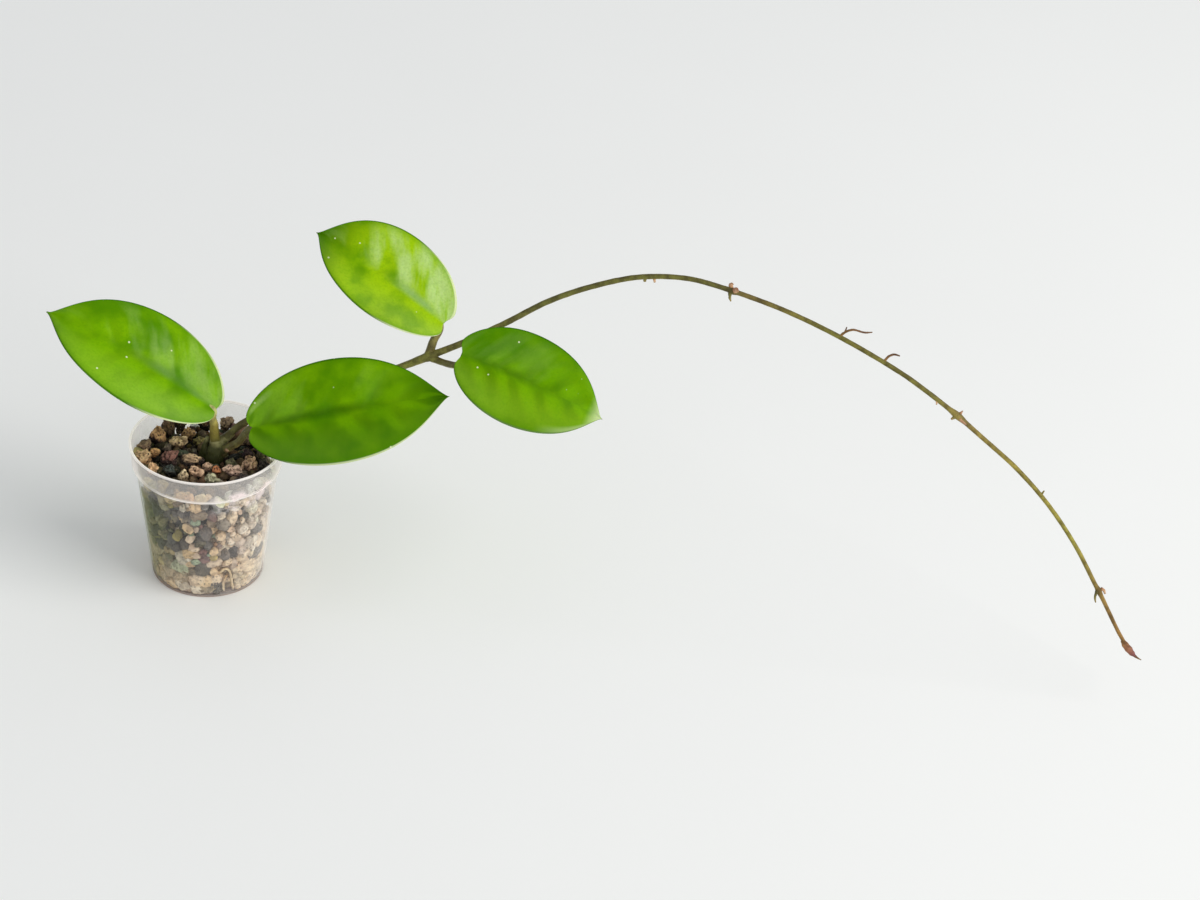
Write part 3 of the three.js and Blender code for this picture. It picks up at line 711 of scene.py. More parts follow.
stoneSlots = {"tan": [5, 6, 12, 13, 15, 30, 31], "pink": [9, 10, 11, 17, 19], "purple": [1, 7, 20, 24],
              "brown": [2, 3, 4, 8, 16, 25, 26, 28, 29], "olive": [14, 21, 22, 27], "dark": [18, 23, 32]}


# Directions of a ball's grid points: rings from the top to the bottom pole, with the two poles last.
def ballGrid(rings, sides):
    tilt = np.linspace(0, np.pi, rings + 2)[1:-1]
    angle = np.linspace(0, 2 * np.pi, sides, endpoint=False)
    ring = np.stack([np.outer(np.sin(tilt), np.cos(angle)), -np.outer(np.sin(tilt), np.sin(angle)),
                     np.outer(np.cos(tilt), np.ones(sides))], axis=-1)
    return np.vstack([ring.reshape(-1, 3), [[0, 0, 1], [0, 0, -1]]])


# Broken stones: a ball cut by flat planes, the corners softened. In each direction the radius is the
# power mean, with a power of minus the sharpness, of each plane's distance over the cosine to it.
def brokenStones(directions, count, planes, sharpness, rng):
    facing = unit(rng.normal(size=(count, planes, 3)))
    distance = rng.uniform(0.66, 1.0, (count, planes))
    lean = np.einsum("gc,nmc->ngm", directions, facing)
    radius = ((np.maximum(lean, 1e-3) / distance[:, None]) ** sharpness).sum(-1) ** (-1 / sharpness)
    return directions[None] * np.minimum(radius, 1.25)[..., None]


# The low and high corners of a top stone's CAD solid, in millimetres.
def stoneBox(number):
    return np.array([[*corner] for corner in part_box(f"stone_{number:02d}")]) / mm


# Keeps points inside the pot's wall, so that stones pressed against it go flat there.
def insideWall(points, gap):
    reach = np.hypot(points[..., 0], points[..., 1])
    limit = potInside(points[..., 2]) - gap
    share = np.minimum(1, limit / np.maximum(reach, 1e-6))
    return points * np.stack([share, share, np.ones_like(reach)], axis=-1)


# Height of the grains' top: it rises towards the back.
def gritTop(x, y):
    return bed["top"] + bed["heap"] * np.clip((y - 0.25 * x + 4) / 24, -0.15, 1)


# Grains settle as balls in the space between the wall and the core: in each step every pair that
# overlaps moves apart by half its overlap, then each ball is moved out of the core and back inside
# the pot. The stones, crown and roots stay where they are.
def packGrains(rng, fixed):
    count, top = bed["grains"], bed["top"]
    size = bed["smallest"] + (bed["largest"] - bed["smallest"]) * rng.random(count) ** 1.8
    kind = rng.random(count)
    atWall, upper = kind < bed["wallShare"], kind < bed["upperShare"]
    height = np.select([atWall, upper], [rng.uniform(3, top - 1, count), rng.uniform(top - 5, top, count)],
                       rng.uniform(2.5, bed["coreFloor"], count))
    size = size * (1 + bed["lowLarger"] * smoothRamp(-height, -24, -8))
    inward = np.where(atWall, rng.uniform(1.5, bed["coreInset"], count), 0)
    anywhere = np.sqrt(rng.random(count)) * (potInside(height) - 2)
    reach = np.where(atWall, potInside(height) - inward, anywhere)
    angle = rng.uniform(0, 2 * np.pi, count)
    place = np.stack([reach * np.cos(angle), reach * np.sin(angle), height], axis=1).astype(np.float32)
    ball = (size * bed["overlap"]).astype(np.float32)
    fixed = fixed.astype(np.float32)
    sizes = np.concatenate([ball, fixed[:, 3]])
    for step in range(bed["settleSteps"]):
        away = place[:, None] - np.vstack([place, fixed[:, :3]])[None]
        far = np.sqrt(np.einsum("ijk,ijk->ij", away, away))
        np.fill_diagonal(far, 1e3)
        over = np.maximum(ball[:, None] + sizes[None] - far, 0) / far
        over[:, :count] *= 0.5
        place = place + 0.7 * np.einsum("ijk,ij->ik", away, over)
        reach = np.hypot(place[:, 0], place[:, 1])
        coreSide = potInside(place[:, 2]) - bed["coreInset"]
        sink = np.stack([coreSide - reach + 0.3 * ball, bed["coreTop"] - place[:, 2],
                         place[:, 2] - bed["coreFloor"]])
        held = (sink > 0).all(0)
        least = sink.argmin(0)
        place[:, :2] *= np.where(held & (least == 0), 1 + sink[0] / np.maximum(reach, 1), 1)[:, None]
        place[:, 2] += np.where(held & (least == 1), sink[1], 0) - np.where(held & (least == 2), sink[2], 0)
        place[:, 2] = np.clip(place[:, 2], 1.0 + 0.8 * ball, gritTop(place[:, 0], place[:, 1]) - 0.5 * ball)
        room = potInside(place[:, 2]) - 0.66 * ball - bed["wallGap"]
        reach = np.hypot(place[:, 0], place[:, 1])
        place[:, :2] *= np.minimum(1, room / np.maximum(reach, 1))[:, None]
    return place.astype(float), size


# Stone and grit finish: the porous stone over each piece's own tones.
def makeStoneFinish(name, pits):
    finish, tree, shader = newFinish(name, Specular_IOR_Level=0.25)
    tone = valueOf(tree, "tone", "Color")
    stone = placeGroup(tree, porousStone, Tone=tone, Mottle=0.5, Pits=pits)
    setInputs(shader, Base_Color=stone["Color"], Roughness=stone["Roughness"])
    bumpInto(shader, stone["Height"], porous["relief"], 1.0)
    return finish


# The dark filling behind the grains, a painted shade for the gaps between them: a turned body that follows
# the pot's wall further in, times one plus small lumps.
def makeCore(finish, rings=30, sides=96):
    heights = np.linspace(bed["coreFloor"] - 1.5, bed["coreTop"] + 1.5, rings)
    skin = turned(np.column_stack([potInside(heights) - bed["coreInset"] + 1.2, heights]), sides)
    ripple = lumps(skin.reshape(-1, 3), 7.0, 8).reshape(skin.shape[:2])
    skin[..., :2] *= (1 + 0.035 * ripple)[..., None]
    points = np.vstack([skin.reshape(-1, 3), [[0, 0, heights[0]], [0, 0, heights[-1]]]])
    tone = np.tile(tint(bed["coreShadeColour"]), (len(points), 1))
    makePiece("grit_shade_core", (points, ringFaces(rings, sides), {"tone": tone}), finish, ["grit"])


# Balls that the grains keep clear of, each with its place and radius: the top stones, the crown and
# the roots, and a second row in front of the looped root, so that it shows.
def fixedBalls():
    lows, highs = np.stack([stoneBox(number) for number in stoneTones], axis=1)
    stones = np.column_stack([(lows + highs) / 2, (highs - lows).mean(1) / 2 * 0.8])
    along = [curveThrough(withRadii(route, [1.0, 0.6]), 60) for route in roots["routes"]]
    strands = [np.column_stack([places, radii]) for places, _, radii in along]
    front = np.vstack([along[0][0][24:], along[1][0]]) * [1.06, 1.06, 1]
    front = np.column_stack([front, np.full(len(front), 0.9)])
    return np.vstack([stones, bed["crownBalls"], *strands, front])


# A tone for each grain: one from the list by its chance, then casts of colour by place, with dark
# clusters, painted light as a pale cast at the right and on the grains under the collar, and painted shade on
# the small grains between the top stones.
def grainTones(place, rng):
    palette = np.array([tint(t) for t in bed["tones"]])
    chances = np.array(list(bed["tones"].values()))
    tone = palette[rng.choice(len(palette), len(place), p=chances / chances.sum())]
    tone[:, :3] *= rng.uniform(0.85, 1.25, (len(place), 1))
    x, y, z = place.T
    inside = 1 - smoothRamp(np.hypot(x, y), potInside(z) - 5.0, potInside(z) - 3.0)
    casts = [("mossTone", 0.8 * smoothRamp(-x - 0.3 * y, 4, 24) * smoothRamp(z, 6, 22)),
             ("paintedLightTone", 0.75 * smoothRamp(x - 0.4 * y, 12, 28)),
             ("strawTone", 0.45 * smoothRamp(-z, -22, -9)),
             ("darkTone", 0.85 * (lumps(place, 15.0, 6) > 0.55))]
    for key, share in casts:
        tone = tone + (np.array(tint(bed[key])) - tone) * share[:, None]
    # painted shade on the small grains between the top stones, and painted light on the grains under the
    # collar
    shaded = (1 - bed["shadedTop"]) * (inside * smoothRamp(z, 49.0, 51.5))
    paintedLight = (bed["collarPaintedLight"] - 1) * smoothRamp(z, 48, 51) * (1 - inside)
    tone[:, :3] *= (1 - shaded + paintedLight)[:, None]
    return np.clip(tone, 0, 1)


# The grains: small broken stones, turned at random and set where the balls have settled.
def makeGrit(finish, rings=5, sides=10):
    rng = np.random.default_rng(bed["seed"])
    place, size = packGrains(rng, fixedBalls())
    directions = ballGrid(rings, sides)
    shape = brokenStones(directions, len(place), 9, 9.0, rng)
    turn = np.linalg.qr(rng.normal(size=(len(place), 3, 3)))[0]
    shape = shape * rng.uniform(0.8, 1.12, (len(place), 1, 3))
    shape = np.einsum("ngc,ncd->ngd", shape, turn * np.sign(np.linalg.det(turn))[:, None, None])
    points = insideWall(shape * size[:, None, None] * bed["grainSwell"] + place[:, None], bed["wallGap"])
    points[..., 2] = np.maximum(points[..., 2], pot["floor"] + 0.1)
    first = (np.arange(len(place)) * len(directions))[:, None, None]
    faces = [(group + first).reshape(-1, group.shape[1]) for group in ringFaces(rings, sides)]
    tone = np.repeat(grainTones(place, rng), len(directions), axis=0)
    grains = (points.reshape(-1, 3), faces, {"tone": tone})
    piece = makePiece("grit_grains", grains, finish, ["grit"])
    piece.data.set_sharp_from_angle(angle=math.radians(38))
    print("grit packed,", len(place), "grains")


# One top stone: a finer broken stone times one plus lumps at three sizes, less round pits (a bell of the
# angle to each pit's centre) and cracks (a bell of one more lump field), stretched to its CAD box.
def topStone(number, rings=26, sides=44, pitCount=22):
    directions = ballGrid(rings, sides)
    rng = np.random.default_rng(100 + number)
    shape = brokenStones(directions, 1, 12, 14.0, rng)[0]
    shape *= (1 + 0.15 * lumps(directions, 1.1, number) + 0.1 * lumps(directions, 0.5, number + 50)
              + 0.06 * lumps(directions, 0.26, number + 70))[:, None]
    centres = unit(rng.normal(size=(pitCount, 3)))
    near = np.arccos(np.clip(directions @ centres.T, -1, 1)) / rng.uniform(0.1, 0.3, pitCount)
    pits = np.exp(-near**2).max(1)
    cracks = np.exp(-(lumps(directions, 0.75, number + 30) / 0.13) ** 2)
    shape *= (1 - 0.22 * pits - 0.13 * cracks + 0.03 * lumps(directions, 0.14, number + 80))[:, None]
    low, high = stoneBox(number)
    mid, reach = (shape.max(0) + shape.min(0)) / 2, (shape.max(0) - shape.min(0)) / 2
    points = insideWall((shape - mid) / reach * (high - low) / 2 * bed["stoneSwell"] + (high + low) / 2, 0.2)
    lower, upper, change = stoneTones[number]
    # painted light on the upper side and painted shade on the lower side, by how far each point faces up
    up = directions[:, 2] + 0.35 * lumps(directions, 1.2, number + 9)
    share = smoothRamp(up, change - 0.25, change + 0.25)
    ends = np.array([tint(lower), tint(upper)]) * [[bed["lowerPaintedShade"]], [bed["upperPaintedLight"]]]
    ends /= np.maximum(1, ends[:, :3].max(1, keepdims=True) / 0.95)
    tone = ends[0] * (1 - share[:, None]) + ends[1] * share[:, None]
    # painted shade in the pits and cracks
    tone *= (1 - 0.75 * np.maximum(0.9 * pits, cracks))[:, None]
    return points, ringFaces(rings, sides), {"tone": tone}


# The top stones, one piece for each colour of stone.
def makeStones():
    for slot, numbers in stoneSlots.items():
        stones = gathered([topStone(number) for number in numbers])
        finish = makeStoneFinish(f"{slot}Stone", 0.9)
        makePiece(f"stones_{slot}", stones, finish, [f"stone_{i:02d}" for i in numbers])
    print("top stones made")


gritFinish = makeStoneFinish("gritGrain", 0.45)
makeCore(gritFinish)
makeGrit(gritFinish)
makeStones()


# Young bark over a ramp of colours, by an attribute of the mesh or by X along the shoot.
def makeBarkFinish(name, skin, rough, freckles, gloss=0.12, follows="along"):
    finish, tree, shader = newFinish(name, Specular_IOR_Level=gloss)
    if follows == "X":
        share = calculate("DIVIDE", partsOf(objectPlace(tree))["X"], skin["reach"], clamp=True)
    else:
        share = valueOf(tree, follows)
    facing = partsOf(addNode(tree, "ShaderNodeTexCoord").outputs["Normal"])["Z"]
    colour, freckle = rampOf(share, skin["colours"]), tint(skin["freckle"])
    skinned = placeGroup(tree, youngBark, Colour=colour, Freckle=freckle, Amount=freckles, Facing=facing)
    height = skinned["Height"]
    roughness = spread(height, 0.3, 0.7, rough - 0.08, rough + 0.14)
    setInputs(shader, Base_Color=skinned["Color"], Roughness=roughness)
    bumpInto(shader, height, bark["relief"], 0.6)
    return finish


# Joins overlapping shapes of the stem into one skin: a fine voxel remesh of them all, then a little
# smoothing. Its colours go by the share of its height.
def fusedPiece(name, shapes, voxel, rounds, finish):
    bare = [(points, faces, {}) for points, faces, _ in shapes]
    piece = makePiece(name, gathered(bare), finish, ["main_shoot"])
    remesh = piece.modifiers.new("fuse", "REMESH")
    remesh.mode, remesh.voxel_size, remesh.use_smooth_shade = "VOXEL", voxel * mm, True
    soften = piece.modifiers.new("soften", "SMOOTH")
    soften.factor, soften.iterations = 0.5, rounds
    fused = bpy.data.meshes.new_from_object(piece.evaluated_get(bpy.context.evaluated_depsgraph_get()))
    piece.modifiers.clear()
    piece.data = fused
    place = np.zeros(3 * len(fused.vertices))
    fused.vertices.foreach_get("co", place)
    height = place[2::3]
    setValues(fused, {"along": (height - height.min()) / (height.max() - height.min())})
    shadeSmooth(fused)


crown = {
    "lumps": [[-1.0, 1.9, 54.6, 2.9], [-0.2, 1.5, 57.2, 2.5], [6.4, 0.2, 58.0, 2.4], [3.0, -0.4, 54.0, 3.0]],
    "cone": [[2.6, -0.6, 51.5, 4.2], [3.0, -0.4, 55.0, 3.9], [3.5, -0.1, 58.2, 3.5], [3.6, 0.3, 61.0, 2.9],
             [3.4, 0.4, 63.6, 2.3]],
    "stump": [[-1.6, 1.0, 54.0, 2.2], [-1.3, 1.2, 58.5, 1.5], [-0.5, 1.5, 62.0, 1.1],
              [-0.1, 1.6, 64.0, 0.8]],
    "voxel": 0.22,
    "colours": [(0.0, "#1d210f"), (0.5, "#2b2f17"), (0.66, "#43462a"), (0.78, "#8f8d63"), (0.87, "#96935f"),
                (0.94, "#7d7634"),
                (1.0, "#7b7230")],  # from the grit up to the petioles
    "freckle": "#2c2a16",
}

petioles = {
    "starts": {
        1: [[3.7, 0.4, 59.5], [3.4, 0.4, 63.0], [3.0, 0.3, 67.0], [2.9, 0.2, 71.6], [2.5, 0.1, 75.2]],
        2: [[6.8, -0.6, 59.6], [13.5, -3.4, 66.4]],
        3: [[89.2, 16.6, 103.8], [89.9, 17.4, 107.0], [91.2, 18.7, 110.8], [92.8, 20.6, 113.4]],
        4: [[90.8, 14.6, 103.1], [95.2, 12.0, 103.2], [98.3, 9.0, 104.4], [101.0, 6.4, 105.9],
            [103.5, 4.8, 108.4]],
    },
    "radii": {1: [2.8, 2.25, 2.05, 1.8, 1.35, 0.95, 0.8], 2: [1.75, 1.6, 1.6, 0.8],
              3: [1.95, 1.8, 1.7, 1.45, 1.1, 0.8],
              4: [1.5, 1.4, 1.45, 1.4, 1.3, 1.0, 0.8]},
    "join": [[-0.6, 0, -1.0], [4.5, 0, -1.2]],
    "colours": {  # from the stem to the blade
        1: [(0.0, "#4e522b"), (0.22, "#5b5a2b"), (0.36, "#756d2e"), (0.5, "#8f8339"), (0.64, "#b3a95c"),
            (0.76, "#cbcb84"), (1.0, "#b4c264")],
        2: [(0.0, "#5c5b34"), (0.35, "#636338"), (0.8, "#4f562c"), (1.0, "#5f7a2c")],
        3: [(0.0, "#7a7040"), (0.5, "#8a804c"), (0.9, "#a89c62"), (1.0, "#adb46a")],
        4: [(0.0, "#6f6a3c"), (0.5, "#6d6c38"), (1.0, "#808c40")],
    },
    "freckle": "#4a3a1c",
}

outgrowths = {  # pieces that stand for CAD nodes: kind of skin, route and radii
    "crown_bud": ("oldBud", [[12.6, 0.4, 67.0], [14.8, -0.8, 69.5], [16.9, -1.6, 72.0]], [1.3, 1.4, 1.0]),
    "aerial_root_1": ("root", [[254.2, 5.5, 134.4], [256.6, 6.2, 136.6], [259.5, 6.9, 137.5],
                               [264.3, 6.5, 136.9],
                               [267.3, 6.7, 137.2]], [0.6, 0.5, 0.45, 0.4, 0.25]),
    "aerial_root_2": ("root", [[272.8, 1.2, 126.8], [274.6, 2.0, 129.2], [276.8, 2.8, 130.0],
                               [279.1, 2.6, 129.7]],
                      [0.6, 0.5, 0.45, 0.3]),
    "node_3_bud": ("bud", [[209.4, 14.0, 147.6], [209.3, 14.8, 149.0], [209.7, 15.0, 149.5]],
                   [0.95, 0.95, 0.7]),
    "node_3_spur": ("spur", [[209.2, 12.9, 146.4], [209.2, 11.7, 144.9], [209.7, 11.0, 143.8]],
                    [0.8, 0.55, 0.28]),
    "node_4_stub": ("spur", [[303.6, -7.8, 109.6], [302.2, -8.8, 109.0]], [0.8, 0.5]),
    "node_4_bud": ("bud", [[305.6, -6.8, 110.6], [306.4, -6.3, 111.6]], [0.65, 0.3]),
    "node_5_spur": ("spur", [[368.6, -32.2, 46.6], [368.1, -33.4, 44.6], [368.5, -34.4, 42.7]],
                    [0.75, 0.5, 0.3]),
    "node_5_scale": ("bud", [[370.4, -31.2, 47.2], [371.5, -31.3, 46.8], [372.2, -31.7, 45.5]],
                     [0.8, 0.6, 0.4]),
}

extras = {  # tiny stubs and spurs that the CAD leaves out
    "crown_scar": ("oldBud", [[7.8, -1.4, 60.4], [9.0, -3.1, 61.8]], [1.15, 0.9]),
    "shoot_stub_1": ("spur", [[174.7, 16.6, 147.6], [174.6, 16.2, 146.8]], [0.8, 0.6]),
    "shoot_stub_2": ("bud", [[178.4, 16.5, 148.0], [178.7, 16.0, 146.9]], [0.6, 0.5]),
    "node_3_scale": ("bud", [[210.8, 12.9, 147.6], [211.7, 12.5, 148.3]], [1.25, 1.1]),
    "shoot_stub_3": ("bud", [[295.8, -5.2, 115.0], [295.6, -6.2, 113.7]], [0.6, 0.3]),
    "node_4_scale": ("bud", [[305.6, -8.4, 109.3], [308.2, -9.6, 107.4]], [0.9, 0.45]),
    "shoot_spur": ("spur", [[341.1, -20.2, 83.2], [342.3, -19.4, 85.0]], [0.6, 0.3]),
    "aerial_root_1_branch": ("root", [[256.4, 6.3, 136.6], [256.9, 6.6, 138.6]], [0.4, 0.25]),
}

outgrowthSkins = {  # colours from the stem to the end
    "root": {"colours": [(0.0, "#a5824c"), (0.35, "#8f6a44"), (0.7, "#6c5040"), (1.0, "#86684f")],
             "freckle": "#3c281c"},
    "bud": {"colours": [(0.0, "#9c7c58"), (0.4, "#cfa07c"), (0.8, "#d9b592"), (1.0, "#8a644c")],
            "freckle": "#7a4a38"},
    "oldBud": {"colours": [(0.0, "#3c3422"), (0.4, "#6a5540"), (0.75, "#9c7c62"), (1.0, "#b08f74")],
               "freckle": "#4a3024"},
    "spur": {"colours": [(0.0, "#6c6a3a"), (0.5, "#807a48"), (1.0, "#a38d60")], "freckle": "#453a26"},
}

tipBud = {
    "route": [[382.0, -37.7, 26.6, 1.0], [383.2, -38.5, 25.3, 1.4], [384.6, -39.4, 24.0, 1.5],
              [386.0, -40.2, 22.8, 1.2], [387.4, -40.9, 21.9, 0.6], [388.7, -41.4, 21.3, 0.35],
              [390.0, -41.8, 20.9, 0.2]],
    "colours": [(0.0, "#94743f"), (0.25, "#a97554"), (0.45, "#8c5c52"), (0.6, "#7a4c50"), (0.8, "#a08058"),
                (1.0, "#c0a070")],
    "freckle": "#2b1a1c",
}


# Each root is a tube along its route, thicker where it leaves the crown.
def makeRoots():
    finish = makeBarkFinish("rootSkin", roots, 0.7, 0.12)
    strands = []
    for i, route in enumerate(roots["routes"]):
        start = roots["thick"] if route[0][2] > 40 else roots["thin"]
        line = withRadii(route, [start, roots["thin"], roots["thin"]])
        strands.append(tubeShape(line, 110, 14, 2.5, 0.08, seed=i))
    makePiece("root_strands", gathered(strands), finish, ["roots"])


# The shoot is one tube. Its crown and second node are fused from the shoot's own tube, lumps, and a flare
# towards each petiole.
def makeShoot():
    shootFinish = makeBarkFinish("shootSkin", shoot, shoot["roughness"], 0.45, follows="X")
    crownFinish = makeBarkFinish("crownSkin", crown, shoot["roughness"], 0.45)
    route = shoot["route"]
    stem = tubeShape(route, 900, 20, 5.0, 0.04, seed=3)
    makePiece("shoot_stem", stem, shootFinish, ["main_shoot"])
    low = [tubeShape(route[:5], 60, 24, 3.0, 0.05, seed=4)]
    for i, (*place, size) in enumerate(crown["lumps"]):
        lump = withRadii([place, np.add(place, [0.1, 0.2, 1.2])], [size, size * 0.85])
        low.append(tubeShape(lump, 6, 24, 2.5, 0.08, 0.9, seed=i))
    low += [tubeShape(crown[part], 40, 24, 3.0, 0.07, seed=6) for part in ("cone", "stump")]
    for number in (1, 2):
        first, second = petioles["starts"][number][:2]
        flare = [first, [0.7 * a + 0.3 * b for a, b in zip(first, second)]]
        below = [[2.0 * a - b for a, b in zip(*flare)]]
        low.append(tubeShape(withRadii(below + flare, [2.6, 2.1, 1.5]), 24, 24, 3.0, 0.04, seed=7))
    fusedPiece("crown", low, crown["voxel"], 10, crownFinish)
    node = [tubeShape(route[7:12], 60, 24, 3.0, 0.04, seed=5)]
    for number in (3, 4):
        first, second = petioles["starts"][number][:2]
        radii = petioles["radii"][number]
        flare = [shoot["secondNode"], first, [0.5 * a + 0.5 * b for a, b in zip(first, second)]]
        node.append(tubeShape(withRadii(flare, [2.0, radii[0] * 1.08, radii[1]]), 24, 24, 3.0, 0.04, seed=8))
    fusedPiece("second_node", node, shoot["nodeVoxel"], 8, shootFinish)
    print("shoot made")


# Buds, spurs, scales and aerial roots: short tubes, each with the skin of its kind.
def makeOutgrowths():
    finishes = {}
    for kind, skin in outgrowthSkins.items():
        finishes[kind] = makeBarkFinish(kind + "Skin", skin, 0.55, 0.5)
    for name, (kind, route, radii) in outgrowths.items():
        shape = tubeShape(withRadii(route, radii), 40, 14, 1.4, 0.12, seed=len(name))
        makePiece(name + "_fine", shape, finishes[kind], [name])
    for name, (kind, route, radii) in extras.items():
        shape = tubeShape(withRadii(route, radii), 20, 12, 1.2, 0.12, seed=len(name))
        makePiece(name, shape, finishes[kind], ())
    tip = tubeShape(tipBud["route"], 60, 20, 2.0, 0.07, seed=2)
    makePiece("tip_bud_fine", tip, makeBarkFinish("tipBudSkin", tipBud, 0.5, 0.5), ["tip_bud"])
    print("roots and buds made")


makeRoots()
makeShoot()
makeOutgrowths()

blade = {
    "rings": 170,
    "sides": 84,
    "middle": 1.7,  # thickness at the midrib and at the margin
    "edge": 0.95,
    "crown": 0.1,
    "groove": 0.08,  # how deep the midrib lies on top
    "rib": 0.45,  # how far it stands out underneath
    "softMiddle": 0.012,  # how round the fold over the midrib is
    "ripple": 0.26,
    "veins": 5.5,  # side veins from base to tip
    "quilt": 0.11,
    "slant": 0.18,  # how far veins and streaks lean to the tip at the margin, as a share of the length
    "streakAlong": 7.5,
    "streakAcross": 0.8,
    "broadScale": 36.0,  # waves to the metre of the clouds, grain and specks
    "cloudScale": 95.0,
    "smallScale": 330.0,
    "fineScale": 1000.0,
    "speckScale": 190.0,
    "relief": 0.0003,
    "bright": "#76ae00",
    "deep": "#498400",
    "young": "#a0c60a",
    # painted sheen: the pale colour of the painted reflection on the blade
    "paintedSheen": "#b4d27c",
    "mist": "#7fa873",
    "shade": "#396a00",
    # painted highlight on the rims and the pale tip, then painted shade on the margin line
    "rim": "#e2ecb8",
    "marginShade": "#2d5f02",
    "under": "#9dbb58",
    "vein": "#244f00",
    "speck": "#e9eec6",
}

# What the finish is told for each leaf, 0 where the leaf doesn't say
leafLooks = ["seed", "youth", "lowYouth", "lowShade", "tipShade", "shade", "veinDepth", "paintedSheen", "sheen",
             "ribSheenAndMist", "highlightCrescent", "baseHighlightRim", "lowHighlightRim", "tipSheen"]

leaves = {  # sizes in millimetres, angles in degrees, then shares and looks
    1: dict(length=79.3, width=46.5, bend=22, bow=0.0147, p=0.519, q=0.621, asym=0.005, lean=0.0045,
            tip=0.077, lobe=2.0, lobeLean=-0.245, hook=1.8, tuck=0.9, lift=1.15, front=1, fold=9.5,
            yaw=178.1, pitch=36.8, roll=-24.3, base=[3.7, 2.3, 78.6], wave=0.55, curlSide=-1, curl=1.5,
            seed=3, youth=0.12, lowYouth=0.15, tipShade=0.3, shade=0.03, veinDepth=0.5, paintedSheen=0.3, sheen=0.18,
            ribSheenAndMist=0.22, baseHighlightRim=0.9),
    2: dict(length=84.2, width=44.2, bend=20.5, bow=-0.0292, p=0.503, q=0.608, asym=-0.009, lean=0.002,
            tip=0.092, lobe=2.45, lobeLean=-0.06, hook=0.0, tuck=0.0, lift=0.0, front=-1, fold=9,
            yaw=-5.8, pitch=23.3, roll=50.7, base=[18.8, -5.4, 74.9], wave=0.5, curlSide=1, curl=0.4,
            seed=12, youth=0.12, lowShade=0.55, tipShade=1.0, veinDepth=0.92, paintedSheen=0.08, sheen=0.05,
            highlightCrescent=0.4, lowHighlightRim=0.8),
    3: dict(length=64.0, width=43.1, bend=22, bow=0.0171, p=0.486, q=0.61, asym=-0.065, lean=0.002,
            tip=0.06, lobe=2.8, lobeLean=-0.05, hook=1.4, tuck=1.5, lift=0.0, front=1, fold=9,
            yaw=169.7, pitch=36.9, roll=-27.3, base=[94.6, 22.3, 116.5], wave=0.5, curlSide=-1, curl=1.1,
            seed=21, youth=0.85, lowYouth=0.35, tipShade=1.0, veinDepth=0.15, paintedSheen=1.05, sheen=0.15,
            ribSheenAndMist=0.42, baseHighlightRim=0.9),
    4: dict(length=63.1, width=40.9, bend=18.6, bow=0.0008, p=0.467, q=0.645, asym=-0.025, lean=0.0105,
            tip=0.0705, lobe=2.7, lobeLean=0.26, hook=-1.3, tuck=1.6, lift=0.0, front=-1, fold=7.5,
            yaw=-13.9, pitch=-12.8, roll=37.6, base=[103.6, 4.0, 113.9], wave=0.45, curlSide=-1, curl=0.4,
            seed=34, youth=0.05, lowYouth=0.35, shade=0.36, veinDepth=0.6, paintedSheen=0.08, sheen=0.06,
            lowHighlightRim=0.1, tipSheen=0.62),
}


# Turns a leaf's own points (X along the midrib, Z up) by roll, pitch and yaw and moves them to its base.
def standLeaf(leaf, points):
    yaw, pitch, roll = (math.radians(leaf[k]) for k in ("yaw", "pitch", "roll"))
    turn = Matrix.Rotation(yaw, 3, "Z") @ Matrix.Rotation(-pitch, 3, "Y") @ Matrix.Rotation(roll, 3, "X")
    return points @ np.array(turn).T + np.array(leaf["base"])


# Half width at share s of the length, as a share of the widest: s^p (1 - s)^q, drawn in to a point
# over the tip's share as 1 - exp(-(1 - s) / tip).
def leafOutline(leaf, s):
    widest = leaf["p"] / (leaf["p"] + leaf["q"])
    body = (s / widest) ** leaf["p"] * ((1 - s) / (1 - widest)) ** leaf["q"]
    return body * (1 - np.exp(-(1 - s) / leaf["tip"]))


